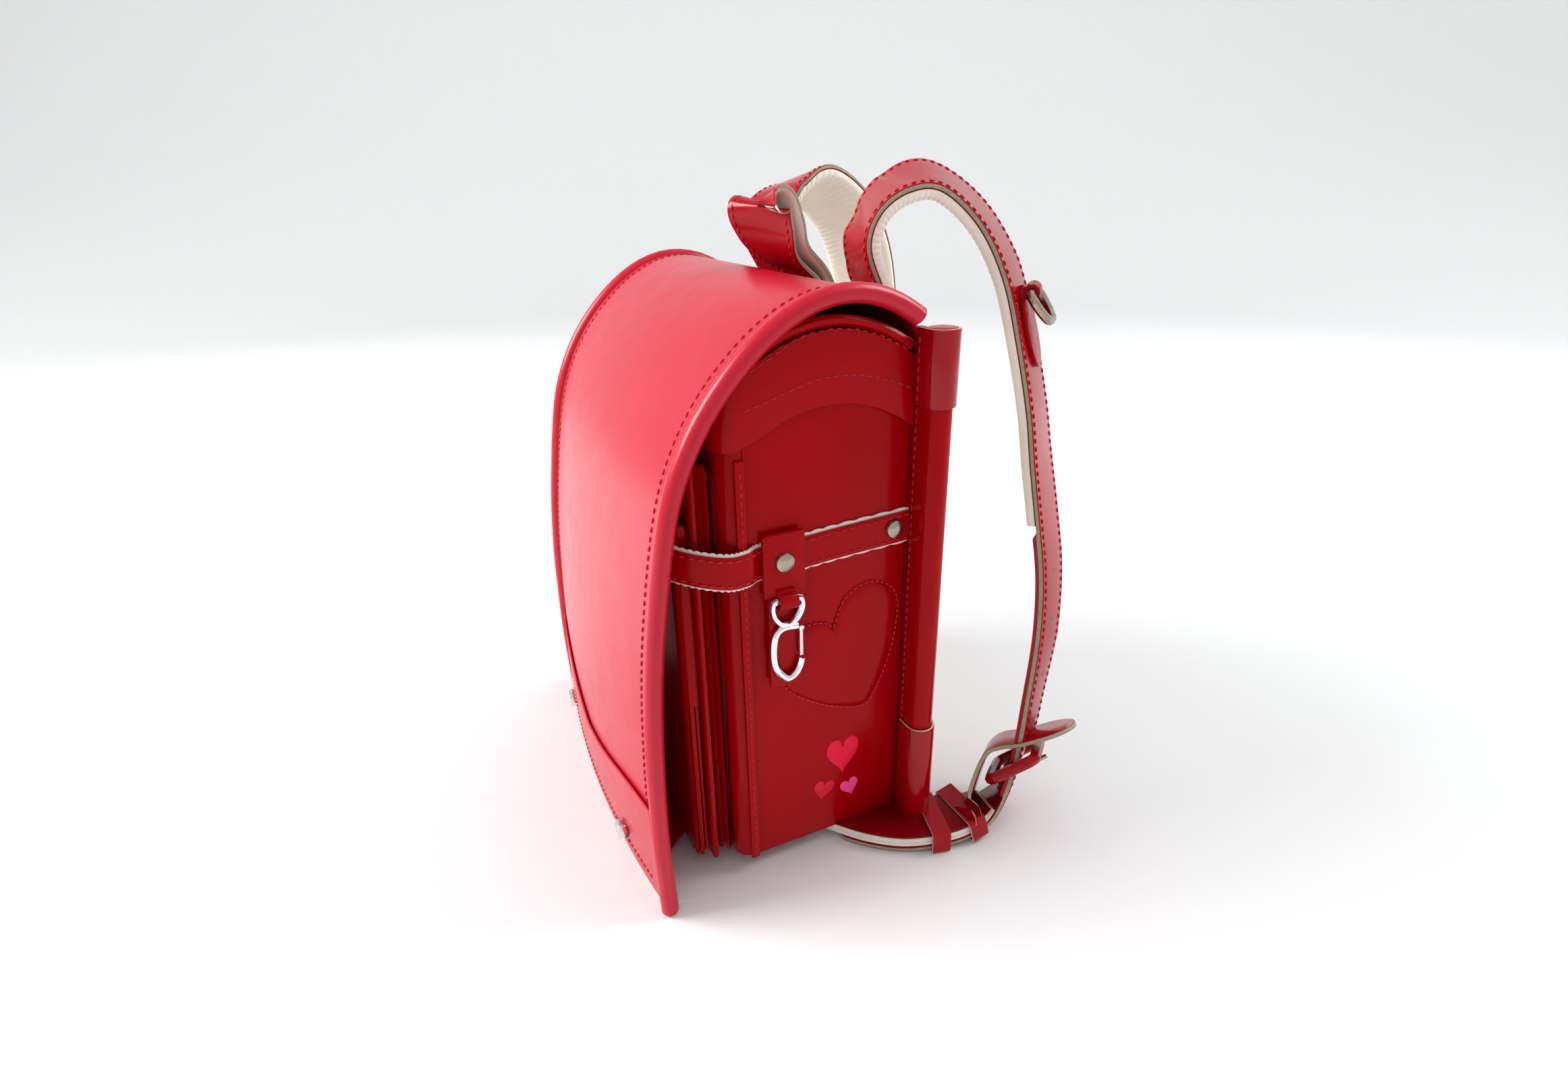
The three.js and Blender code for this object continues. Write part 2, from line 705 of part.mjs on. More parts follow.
function makeRivet(y, z, seat) {
  const profile = [
    [0, 0], [RIVET.radius, 0], [RIVET.radius * 0.9, RIVET.dome * 0.55], [RIVET.radius * 0.5, RIVET.dome * 0.92],
    [0, RIVET.dome],
  ].map(([r, h]) => new THREE.Vector2(r, h));
  return new THREE.LatheGeometry(profile, 14).rotateZ(-Math.PI / 2).translate(seat, y, z);
}

const belts = newGroup('side_belts');
const rivetSeat = bandX + BELT.thick + CLEAR;
placePair(belts, 'side_belt', makeBelt(), MATERIAL.leather);
placePair(belts, 'back_rivet', makeRivet(RIVET.back_y, BELT.level + 4, rivetSeat), MATERIAL.nickel);
place(belts, 'front_rivet_right', makeRivet(RIVET.front_y, BELT.level, rivetSeat + TAB.thick + CLEAR), MATERIAL.nickel);
place(belts, 'front_rivet_left', mirrored(makeRivet(RIVET.front_y, BELT.level, rivetSeat)), MATERIAL.nickel);

// Raised hearts on both side panels

function makeHeartPad() {
  const heart = across(heartShape(HEART.width, HEART.height), bandX, bandX + HEART.thick, 6);
  return heart.rotateX(THREE.MathUtils.degToRad(HEART.tilt)).translate(0, HEART.y, HEART.z);
}

placePair(belts, 'heart_pad', makeHeartPad(), MATERIAL.leather);

// Snap hooks: a bail that hangs in a leather roll, a C-shaped body and a sprung gate. Each
// is made about its hinge line, which runs along Y, and hangs down -Z.

const hookTop = -HOOK.bail;
const gatePivot = vec(0, HOOK.width / 2 - 1.5 * HOOK.rod / 2, hookTop - HOOK.rod);

function makeHook() {
  const half = HOOK.width / 2 - HOOK.rod / 2;
  const bottom = hookTop - HOOK.length + HOOK.rod;
  const body = smooth([
    vec(0, 0, hookTop - HOOK.rod / 2),
    vec(0, -0.75 * half, hookTop - HOOK.rod),
    vec(0, -half, hookTop - 0.4 * HOOK.length),
    vec(0, -0.8 * half, bottom + 0.2 * HOOK.length),
    vec(0, 0, bottom),
    vec(0, 0.75 * half, bottom + 0.12 * HOOK.length),
    vec(0, half, bottom + 0.3 * HOOK.length),
  ]);
  const arm = smooth([
    vec(0, 0, hookTop - HOOK.rod / 2),
    vec(0, half - HOOK.rod * 0.74, hookTop - HOOK.rod * 0.75),
  ]);
  const reach = TAB.width * 0.34;
  const bail = smooth([
    vec(0, -reach, 0), vec(0, 0, 0), vec(0, reach, 0), vec(0, reach, hookTop * 0.55),
    vec(0, reach * 0.35, hookTop), vec(0, -reach * 0.35, hookTop), vec(0, -reach, hookTop * 0.55),
  ], true);
  return join(rod(body, HOOK.rod / 2, 14), rod(arm, HOOK.rod / 2, 2), rod(bail, HOOK.bail_rod, 20, 6));
}

function makeGate() {
  const tipZ = hookTop - HOOK.length + HOOK.rod + 0.3 * HOOK.length;
  const top = gatePivot.z;
  const bottom = tipZ + HOOK.rod / 2 + 2 * CLEAR;
  const lever = new THREE.BoxGeometry(GATE.width, GATE.thick, top - bottom);
  lever.translate(0, gatePivot.y, (top + bottom) / 2);
  const knuckle = new THREE.CylinderGeometry(GATE.thick * 0.8, GATE.thick * 0.8, GATE.width + 0.8, 10);
  knuckle.rotateZ(Math.PI / 2).translate(0, gatePivot.y, gatePivot.z);
  return join(lever, knuckle);
}

// A roll of leather with a bore for a bail, its axis along Y.
function makeRoll(outer, bore, length) {
  const ring = new THREE.Shape().absarc(0, 0, outer, 0, 2 * Math.PI, false);
  ring.holes.push(new THREE.Path().absarc(0, 0, bore, 0, 2 * Math.PI, true));
  const geometry = new THREE.ExtrudeGeometry(ring, { depth: length, bevelEnabled: false, curveSegments: 12 });
  return geometry.rotateX(Math.PI / 2).translate(0, length / 2, 0);
}

const rollLength = TAB.width * 0.45;
const tabX = rivetSeat;
const tabRollX = bandX + TAB.thick + TAB.roll + 2 * CLEAR;
const tabRollZ = BELT.level - BELT.height / 2 - TAB.rise;

// The hook's tab: riveted over the belt, rolled round the bail, and running on as a tongue
// between the hook and the side panel.
function makeHookTab() {
  const top = BELT.level + BELT.height / 2 + TAB.rise / 2;
  const plateLow = tabRollZ + TAB.roll * 0.4;
  const plate = new THREE.BoxGeometry(TAB.thick, TAB.width, top - plateLow);
  plate.translate(tabX + TAB.thick / 2, 0, (top + plateLow) / 2);
  const tongue = new THREE.BoxGeometry(TAB.thick, TAB.width * 0.8, TAB.tail + TAB.roll);
  tongue.translate(tabX + TAB.thick / 2, 0, tabRollZ - TAB.tail / 2 + TAB.roll / 2);
  const bridge = new THREE.BoxGeometry(TAB.roll, rollLength, TAB.roll);
  bridge.translate(tabX + TAB.roll / 2, 0, tabRollZ + TAB.roll * 0.75);
  const roll = makeRoll(TAB.roll, HOOK.bail_rod + TAB.bore * 0.25, rollLength).translate(tabRollX, 0, tabRollZ);
  const bore = rod(smooth([vec(tabRollX, -TAB.width, tabRollZ), vec(tabRollX, TAB.width, tabRollZ)]),
    HOOK.bail_rod + TAB.bore * 0.25, 1, 12);
  return cut(join(plate, tongue, bridge, roll), bore).translate(0, RIVET.front_y, 0);
}

const sideHook = newGroup('side_hook_assembly');
place(sideHook, 'hook_tab', makeHookTab(), MATERIAL.leather);
const sideHookBody = new THREE.Group();
sideHookBody.position.set(tabRollX, RIVET.front_y, tabRollZ);
sideHook.add(sideHookBody);
place(sideHookBody, 'side_hook', makeHook(), MATERIAL.chrome);
place(sideHookBody, 'side_hook_gate', makeGate(), MATERIAL.chrome);

// Shoulder straps: one route for leather, lining and the tail that runs on under the base

// The strap's outer edge from the back bracket up over the arch, down to the buckle and
// under the base. out is a share of the bag's half width, back of the reach, up of the arch's
// top. turn and lift are the strap's twist in degrees, wide goes from narrow (0) to full (1).
const STRAP_ROUTE = [
  { out: 0.64, back: 0.476, up: 0.723, turn: 0, lift: 0, wide: 1 },
  { out: 0.65, back: 0.470, up: 0.775, turn: 4, lift: 0, wide: 1 },
  { out: 0.665, back: 0.434, up: 0.827, turn: 10, lift: 0, wide: 1 },
  { out: 0.68, back: 0.344, up: 0.879, turn: 14, lift: 0, wide: 1 },
  { out: 0.70, back: 0.279, up: 0.931, turn: 18, lift: 4, wide: 1 },
  { out: 0.725, back: 0.311, up: 0.974, turn: 22, lift: 8, wide: 1 },
  { out: 0.75, back: 0.418, up: 1.0, turn: 27, lift: 10, wide: 1 },
  { out: 0.775, back: 0.557, up: 1.0, turn: 32, lift: 10, wide: 1 },
  { out: 0.80, back: 0.730, up: 0.951, turn: 40, lift: 8, wide: 1 },
  { out: 0.83, back: 0.852, up: 0.876, turn: 47, lift: 5, wide: 0.95 },
  { out: 0.87, back: 0.922, up: 0.783, turn: 50, lift: 2, wide: 0.92 },
  { out: 0.94, back: 0.961, up: 0.676, turn: 52, lift: 0, wide: 0.86 },
  { out: 0.99, back: 0.973, up: 0.592, turn: 54, lift: 0, wide: 0.72 },
  { out: 1.05, back: 0.992, up: 0.494, turn: 57, lift: 0, wide: 0.45 },
  { out: 1.11, back: 1.0, up: 0.402, turn: 60, lift: 0, wide: 0.18 },
  { out: 1.17, back: 0.967, up: 0.303, turn: 62, lift: 0, wide: 0 },
  { out: 1.23, back: 0.893, up: 0.191, turn: 58, lift: 0, wide: 0 },
  { out: 1.27, back: 0.844, up: 0.139, turn: 55, lift: 0, wide: 0 },
  { out: 1.30, back: 0.795, up: 0.087, turn: 50, lift: 0, wide: 0 },
  { out: 1.32, back: 0.738, up: 0.040, turn: 40, lift: 0, wide: 0 },
  { out: 1.335, back: 0.656, up: 0.003, turn: 22, lift: 0, wide: 0 },
  { out: 1.335, back: 0.525, up: -0.0105, turn: 8, lift: 0, wide: 0 },
  { out: 1.31, back: 0.377, up: -0.0125, turn: 5, lift: 0, wide: 0 },
  { out: 1.24, back: 0.221, up: -0.0168, turn: 22, lift: 0, wide: 0 },
  { out: 1.13, back: 0.082, up: -0.0168, turn: 38, lift: 0, wide: 0 },
  { out: 0.99, back: -0.033, up: -0.0168, turn: 43, lift: 0, wide: 0 },
  { out: 0.85, back: -0.139, up: -0.0168, turn: 44, lift: 0, wide: 0 },
];
const ROW = { lining_end: 13, buckle: 17.9, backing_end: 19, belt_start: 19.5, keeper_low: 21.35, keeper_high: 20.4,
  tail_end: 25, belt_end: 26, patch: 9.4 };

const strapEdge = smooth(STRAP_ROUTE.map((row) => vec(row.out * SIDE_X, row.back * STRAP.reach, row.up * STRAP.top)));

// Where the strap is at a row of its route: its edge, run, width direction and outward face.
function strapFrame(row) {
  const last = STRAP_ROUTE.length - 1;
  const low = Math.min(Math.floor(row), last - 1);
  const mix = (key) => THREE.MathUtils.lerp(STRAP_ROUTE[low][key], STRAP_ROUTE[low + 1][key], row - low);
  const edge = strapEdge.getPoint(Math.min(row / last, 1));
  const run = strapEdge.getTangent(Math.min(row / last, 1));
  const turn = THREE.MathUtils.degToRad(mix('turn'));
  const lift = THREE.MathUtils.degToRad(mix('lift'));
  const wide = vec(-Math.cos(turn), Math.sin(turn), Math.sin(lift));
  wide.addScaledVector(run, -wide.dot(run)).normalize();
  const out = run.clone().cross(wide);
  const width = STRAP.narrow + (STRAP.width - STRAP.narrow) * mix('wide');
  return { edge, run, wide, out, width };
}

// A layer of the strap between two rows and two offsets from the edge line.
function strapLayer(rows, inner, outer, inset = 0, crown = 0, columns = 2) {
  const grid = [outer, inner].map((offset, side) => rows.map((row) => {
    const { edge, wide, out, width } = strapFrame(row);
    const line = [];
    for (let j = 0; j <= columns; j += 1) {
      const share = j / columns;
      const bulge = side ? crown * (1 - (2 * share - 1) ** 2) : 0;
      const across = inset + (width - 2 * inset) * share;
      const depth = offset(row) - bulge;
      line.push(edge.clone().addScaledVector(wide, across).addScaledVector(out, depth));
    }
    return line;
  }));
  return slab(...grid);
}

function rowsBetween(from, to, perRow = 2) {
  const count = Math.ceil((to - from) * perRow);
  return Array.from({ length: count + 1 }, (_, i) => from + ((to - from) * i) / count);
}

const level = (value) => () => value;

// Past the padded lining the leather is backed, until it has passed the buckle.
function strapInner(row) {
  return row > ROW.lining_end + 0.15 && row < ROW.backing_end ? -STRAP.backing : 0;
}

const strapRows = [
  ...rowsBetween(0, ROW.lining_end), ROW.lining_end + 0.1, ROW.lining_end + 0.2,
  ...rowsBetween(ROW.lining_end + 0.5, ROW.backing_end - 0.1), ...rowsBetween(ROW.backing_end, ROW.tail_end),
];

function makePad() {
  const rows = rowsBetween(0, ROW.lining_end);
  return strapLayer(rows, level(-3 * CLEAR - STRAP.pad * 0.6), level(-3 * CLEAR), 1, STRAP.pad * 0.4, 4);
}

// The buckle's frame lies across the strap, tilted so that the strap passes through it.
const atBuckle = strapFrame(ROW.buckle);
const buckleMiddle = atBuckle.edge.clone()
  .addScaledVector(atBuckle.wide, atBuckle.width / 2)
  .addScaledVector(atBuckle.out, (STRAP.leather - STRAP.backing) / 2);

function tilted(degrees) {
  const angle = THREE.MathUtils.degToRad(degrees);
  return atBuckle.run.clone().multiplyScalar(Math.cos(angle)).addScaledVector(atBuckle.out, -Math.sin(angle));
}

const frameDown = tilted(BUCKLE.tilt);
const frameOut = frameDown.clone().cross(atBuckle.wide);

function buckleFrame() {
  const halfWide = BUCKLE.width / 2 - BUCKLE.rod;
  const halfLong = BUCKLE.length / 2 - BUCKLE.rod;
  const corner = 3;
  const points = [];
  for (const [a, b] of [[1, 1], [-1, 1], [-1, -1], [1, -1]]) {
    const first = [a * halfWide, b * (halfLong - corner)];
    const second = [a * (halfWide - corner), b * halfLong];
    points.push(...(a * b > 0 ? [first, second] : [second, first]));
  }
  const curve = smooth(points.map(([across, along]) => buckleMiddle.clone()
    .addScaledVector(atBuckle.wide, across).addScaledVector(frameDown, along)), true);
  return rod(curve, BUCKLE.rod, 24);
}

function prongRod(radius) {
  const half = BUCKLE.length / 2 - BUCKLE.rod;
  const seat = buckleMiddle.clone().addScaledVector(frameOut, BUCKLE.rod + BUCKLE.prong + 2 * CLEAR);
  const ends = [half + BUCKLE.rod, -half - BUCKLE.rod].map((along) => seat.clone().addScaledVector(frameDown, along));
  return rod(new THREE.LineCurve3(...ends), radius, 1, 10);
}

function makeCover() {
  const upward = tilted(COVER.tilt).negate();
  const face = upward.clone().cross(atBuckle.wide).negate();
  const crossing = buckleMiddle.clone().addScaledVector(atBuckle.run, -COVER.above);
  const grid = [0.5, -0.5].map((side) => [-COVER.below, 1 - COVER.below].map((end) => [-0.5, 0.5].map((edge) => crossing.clone()
    .addScaledVector(upward, end * COVER.length)
    .addScaledVector(atBuckle.wide, edge * COVER.width)
    .addScaledVector(face, side * COVER.thick))));
  const room = strapLayer(rowsBetween(ROW.buckle - 2, ROW.buckle + 1), level(-STRAP.backing - 2 * CLEAR),
    level(STRAP.leather + 2 * CLEAR), -2 * CLEAR);
  return cut(slab(...grid), room);
}

// A leather loop round the tail and the lower belt.
function makeKeeper(row) {
  const { edge, run, wide, out, width } = strapFrame(row);
  const low = -3 * CLEAR - LOWER.thick;
  const high = STRAP.leather + CLEAR;
  const wall = KEEPER.thick + CLEAR;
  const block = new THREE.BoxGeometry(width + 2 * wall, high - low + 2 * wall, KEEPER.width);
  const basis = new THREE.Matrix4().makeBasis(wide, out, run);
  basis.setPosition(edge.clone().addScaledVector(wide, width / 2).addScaledVector(out, (high + low) / 2));
  const near = Math.floor(row);
  const room = strapLayer(rowsBetween(near - 0.5, near + 1.5), level(low), level(high), -CLEAR);
  return cut(block.applyMatrix4(basis), room);
}

const strapLeather = cut(strapLayer(strapRows, strapInner, level(STRAP.leather)), prongRod(BUCKLE.prong + CLEAR));
const straps = newGroup('shoulder_straps');
placePair(straps, 'strap', strapLeather, MATERIAL.leather);
placePair(straps, 'strap_lining', makePad(), MATERIAL.lining);
placePair(straps, 'buckle_frame', buckleFrame(), MATERIAL.leather);
placePair(straps, 'buckle_prong', prongRod(BUCKLE.prong), MATERIAL.nickel);
placePair(straps, 'buckle_cover', makeCover(), MATERIAL.leather);
placePair(straps, 'keeper_low', makeKeeper(ROW.keeper_low), MATERIAL.leather);
placePair(straps, 'keeper_high', makeKeeper(ROW.keeper_high), MATERIAL.leather);
placePair(straps, 'lower_belt', strapLayer(rowsBetween(ROW.belt_start, ROW.belt_end),
  level(-2 * CLEAR - LOWER.thick), level(-2 * CLEAR)), MATERIAL.lining);

// Patches with a leather roll on both straps: one holds a ring, the other a snap hook

const patchAt = strapFrame(ROW.patch);

// A frame on the strap's outer face with the roll's axis along the strap's width.
const patchMiddle = patchAt.edge.clone().addScaledVector(patchAt.wide, patchAt.width / 2);
patchMiddle.addScaledVector(patchAt.out, STRAP.leather + CLEAR);
const patchBasis = new THREE.Matrix4().makeBasis(patchAt.out, patchAt.wide, patchAt.run.clone().negate());
patchBasis.setPosition(patchMiddle);

const patchRollX = PATCH.thick + PATCH.roll - 2 * CLEAR;

function makePatch() {
  const outline = new THREE.Shape();
  const half = PATCH.width / 2;
  outline.absellipse(0, -PATCH.height / 2 + PATCH.roll, half, PATCH.height / 2, 0, 2 * Math.PI);
  const prism = new THREE.ExtrudeGeometry(outline, { depth: 8 * PATCH.thick, bevelEnabled: false, curveSegments: 12 });
  prism.translate(0, 0, -4 * PATCH.thick);
  prism.applyMatrix4(new THREE.Matrix4().makeBasis(vec(0, 1, 0), vec(0, 0, 1), vec(1, 0, 0)));
  const seat = STRAP.leather + CLEAR;
  const layer = strapLayer(rowsBetween(ROW.patch - 1, ROW.patch + 2), level(seat), level(seat + PATCH.thick));
  const oval = overlapOf(prism.applyMatrix4(patchBasis), layer);
  const roll = makeRoll(PATCH.roll, PATCH.bore, PATCH.roll_length).translate(patchRollX, 0, 0);
  const boreLine = new THREE.LineCurve3(vec(patchRollX, -PATCH.width, 0), vec(patchRollX, PATCH.width, 0));
  const bore = rod(boreLine, PATCH.bore, 1, 12).applyMatrix4(patchBasis);
  return cut(join(oval, roll.applyMatrix4(patchBasis)), bore);
}

function makeRing() {
  const half = RING.width / 2 - RING.rod;
  const low = -RING.height + 2 * RING.rod;
  const ring = smooth([
    vec(0, 0, 0), vec(0, half * 0.7, 0), vec(0, half, low * 0.12), vec(0, half * 0.98, low * 0.5),
    vec(0, half * 0.55, low * 0.92), vec(0, 0, low), vec(0, -half * 0.55, low * 0.92),
    vec(0, -half * 0.98, low * 0.5), vec(0, -half, low * 0.12), vec(0, -half * 0.7, 0),
  ], true);
  return rod(ring, RING.rod, 28);
}

// Hangs a piece in a patch's roll, turned outward from the strap.
function inRoll(geometry, degrees) {
  const turned = geometry.rotateY(-THREE.MathUtils.degToRad(degrees)).translate(patchRollX, 0, 0);
  return turned.applyMatrix4(patchBasis);
}

placePair(straps, 'strap_patch', makePatch(), MATERIAL.leather);
place(straps, 'strap_ring', inRoll(makeRing(), HANG.ring), MATERIAL.nickel);
place(straps, 'strap_hook', mirrored(inRoll(makeHook(), HANG.hook)), MATERIAL.chrome);
place(straps, 'strap_hook_gate', mirrored(inRoll(makeGate(), HANG.hook)), MATERIAL.chrome);

// Back bracket and handle

const bracketFront = BACK_DEPTH + FLAP.thick / 2 + 3 * CLEAR;

function makeBracket() {
  const block = new THREE.BoxGeometry(BRACKET.width, BRACKET.depth, BRACKET.height);
  return block.translate(0, bracketFront + BRACKET.depth / 2, BRACKET.z + BRACKET.height / 2);
}

// The handle's middle line from its front foot over the fold to its back foot. lean is a
// share of the handle's lean in front of the bracket, up of its rise above it, and turn says
// how many degrees the limp band has twisted about the upright there.
const HANDLE_LINE = [
  { lean: 0.0, up: 0.0, turn: 0 }, { lean: 0.04, up: 0.16, turn: 0 }, { lean: 0.17, up: 0.31, turn: 2 },
  { lean: 0.39, up: 0.41, turn: 5 }, { lean: 0.62, up: 0.48, turn: 10 }, { lean: 0.77, up: 0.57, turn: 16 },
  { lean: 0.9, up: 0.72, turn: 25 }, { lean: 1.0, up: 0.91, turn: 33 }, { lean: 0.97, up: 0.985, turn: 34 },
  { lean: 0.81, up: 0.99, turn: 34 }, { lean: 0.61, up: 0.88, turn: 32 }, { lean: 0.44, up: 0.68, turn: 26 },
  { lean: 0.29, up: 0.54, turn: 16 }, { lean: 0.11, up: 0.43, turn: 8 }, { lean: -0.03, up: 0.31, turn: 2 },
  { lean: -0.12, up: 0.14, turn: 0 }, { lean: -0.13, up: 0.0, turn: 0 },
];

function makeHandle(steps = 32) {
  const base = BRACKET.z + BRACKET.height + 2 * CLEAR;
  const line = smooth(HANDLE_LINE.map(({ lean, up }) => vec(0, bracketFront + HANDLE.thick / 2 - lean * HANDLE.lean,
    base + up * HANDLE.rise)));
  const last = HANDLE_LINE.length - 1;
  const grid = [0.5, -0.5].map((side) => {
    const rows = [];
    for (let i = 0; i <= steps; i += 1) {
      const place = (i / steps) * last;
      const low = Math.min(Math.floor(place), last - 1);
      const turn = THREE.MathUtils.degToRad(THREE.MathUtils.lerp(HANDLE_LINE[low].turn, HANDLE_LINE[low + 1].turn, place - low));
      const tangent = line.getTangent(i / steps);
      const wide = vec(Math.cos(turn), Math.sin(turn), Math.sin(turn) * HANDLE.tip);
      wide.addScaledVector(tangent, -wide.dot(tangent)).normalize();
      const at = line.getPoint(i / steps).addScaledVector(tangent.clone().cross(wide).negate(), side * HANDLE.thick);
      rows.push([-1, 1].map((edge) => at.clone().addScaledVector(wide, (edge * HANDLE.width) / 2)));
    }
    return rows;
  });
  return slab(...grid);
}

const carry = newGroup('handle_assembly');
place(carry, 'back_bracket', makeBracket(), MATERIAL.dark_leather);
place(carry, 'handle', makeHandle(), MATERIAL.leather);

export default ransel;
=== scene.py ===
# %% [markdown]
# # A school ransel
#
# A ransel is the stiff leather backpack that Japanese children carry to school. Its body is
# a glossy coated leather box under a full-length arched flap. The solids come from the CAD
# frame. Every piece here is either a finished copy of a solid, with rounded edges and smooth
# shading, or is swept anew where the real piece shows layers, folds or a cut edge.

# %% Load the frame
import json
import math
from bisect import bisect_right

import bmesh
import bpy
from mathutils import Matrix, Vector
from mathutils.bvhtree import BVHTree


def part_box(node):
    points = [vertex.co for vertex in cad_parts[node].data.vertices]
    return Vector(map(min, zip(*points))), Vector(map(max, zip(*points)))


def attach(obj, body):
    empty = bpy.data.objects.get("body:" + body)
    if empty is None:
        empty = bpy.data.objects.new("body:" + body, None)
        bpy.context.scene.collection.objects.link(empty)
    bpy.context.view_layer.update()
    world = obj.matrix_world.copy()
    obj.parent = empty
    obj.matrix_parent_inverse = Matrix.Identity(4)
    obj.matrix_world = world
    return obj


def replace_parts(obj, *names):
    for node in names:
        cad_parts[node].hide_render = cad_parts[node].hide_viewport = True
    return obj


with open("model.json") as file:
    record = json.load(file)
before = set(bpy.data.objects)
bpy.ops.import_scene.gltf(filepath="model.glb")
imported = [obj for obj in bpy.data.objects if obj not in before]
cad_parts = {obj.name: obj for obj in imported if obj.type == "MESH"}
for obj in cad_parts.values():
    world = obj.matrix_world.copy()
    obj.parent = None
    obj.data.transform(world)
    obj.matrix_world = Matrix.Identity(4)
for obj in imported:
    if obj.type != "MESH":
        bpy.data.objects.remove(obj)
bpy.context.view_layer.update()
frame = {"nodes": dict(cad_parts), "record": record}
MM = 0.001
SIDES = {"right": 1, "left": -1}
print("CAD nodes", len(frame["nodes"]))

# %% [markdown]
# ## Camera, floor and light
#
# The camera is a phone held close, so its view is wide. The floor is a pale sheet that
# curves up all round, like a photographer's cove, so that glossy leather has something
# plain and bright to mirror from every side.

# %% Camera
AZIMUTH, PITCH, ROLL = (math.radians(angle) for angle in (65.617, 23.688, -1.232))
FOCAL_PX, IMAGE_WIDTH, SENSOR = 1169.6, 2324, 36.0

back = Vector((math.sin(AZIMUTH) * math.cos(PITCH), -math.cos(AZIMUTH) * math.cos(PITCH), math.sin(PITCH)))
level_right = Vector((math.cos(AZIMUTH), math.sin(AZIMUTH), 0))
level_up = back.cross(level_right)
right = math.cos(ROLL) * level_right + math.sin(ROLL) * level_up
up = math.cos(ROLL) * level_up - math.sin(ROLL) * level_right
bpy.ops.object.camera_add(location=Vector((434.17, -176.06, 349.84)) * MM)
camera = bpy.context.object
camera.rotation_euler = Matrix((right, up, back)).transposed().to_euler()
camera.data.sensor_width = SENSOR
camera.data.lens = SENSOR * FOCAL_PX / IMAGE_WIDTH
camera.data.clip_start = 0.01
bpy.context.scene.camera = camera

# %% Cove and lights
FLOOR_Z = -9 * MM


def make_cove(flat=2.2, curve=0.9, height=2.6, steps=10):
    """A flat disc whose rim curves up into a wall."""
    profile = [(0.0, 0.0), (flat, 0.0)]
    for i in range(1, steps + 1):
        angle = i / steps * math.pi / 2
        profile.append((flat + curve * math.sin(angle), curve * (1 - math.cos(angle))))
    profile.append((flat + curve, height))
    mesh = bpy.data.meshes.new("cove")
    edges = [(i, i + 1) for i in range(len(profile) - 1)]
    mesh.from_pydata([(r, 0, FLOOR_Z + z) for r, z in profile], edges, [])
    cove = bpy.data.objects.new("cove", mesh)
    bpy.context.collection.objects.link(cove)
    bpy.ops.object.select_all(action="DESELECT")
    cove.select_set(True)
    bpy.context.view_layer.objects.active = cove
    bpy.ops.object.mode_set(mode="EDIT")
    bpy.ops.mesh.select_all(action="SELECT")
    bpy.ops.mesh.spin(steps=72, angle=2 * math.pi, center=(0, 0, 0), axis=(0, 0, 1))
    bpy.ops.mesh.remove_doubles(threshold=0.0001)
    bpy.ops.mesh.normals_make_consistent(inside=True)
    bpy.ops.object.mode_set(mode="OBJECT")
    bpy.ops.object.shade_smooth()
    return cove


def soft_light(name, place, aim, size, power, tint=(1, 1, 1)):
    bpy.ops.object.light_add(type="AREA", location=place)
    light = bpy.context.object
    light.name = name
    light.data.size = size
    light.data.energy = power
    light.data.color = tint
    light.rotation_euler = (Vector(aim) - Vector(place)).to_track_quat("-Z", "Y").to_euler()


cove = make_cove()
soft_light("window", (-0.7, -1.7, 1.35), (0, 0, 0.15), 1.1, 44)
soft_light("back_window", (0.3, 1.7, 1.7), (0, 0, 0.2), 1.2, 24, (0.97, 0.99, 1.0))
world = bpy.data.worlds.new("studio")
bpy.context.scene.world = world
world.use_nodes = True
world.node_tree.nodes["Background"].inputs["Color"].default_value = (0.98, 0.99, 1.0, 1)
world.node_tree.nodes["Background"].inputs["Strength"].default_value = 0.7
view = bpy.context.scene.view_settings
view.view_transform = "Standard"
view.gamma = 0.86
view.exposure = 0.14

# %% [markdown]
# ## Writing materials as sums
#
# A node tree is easier to read as a formula. Each value below is wrapped, so that adding or
# multiplying two of them adds a Math node. Other nodes come from one method that takes the
# node's type, its settings and its inputs.

# %% Shader values
class Wired:
    """A socket in a node tree, with arithmetic."""

    def __init__(self, tree, socket):
        self.tree, self.socket = tree, socket

    def _math(self, operation, other, swap=False):
        node = self.tree.nodes.new("ShaderNodeMath")
        node.operation = operation
        first, second = (other, self) if swap else (self, other)
        for value, slot in ((first, node.inputs[0]), (second, node.inputs[1])):
            connect(self.tree, value, slot)
        return Wired(self.tree, node.outputs[0])

    def __add__(self, other):
        return self._math("ADD", other)

    def __sub__(self, other):
        return self._math("SUBTRACT", other)

    def __rsub__(self, other):
        return self._math("SUBTRACT", other, swap=True)

    def __mul__(self, other):
        return self._math("MULTIPLY", other)

    __radd__ = __add__
    __rmul__ = __mul__


def connect(tree, value, slot):
    if isinstance(value, Wired):
        tree.links.new(value.socket, slot)
    else:
        slot.default_value = value


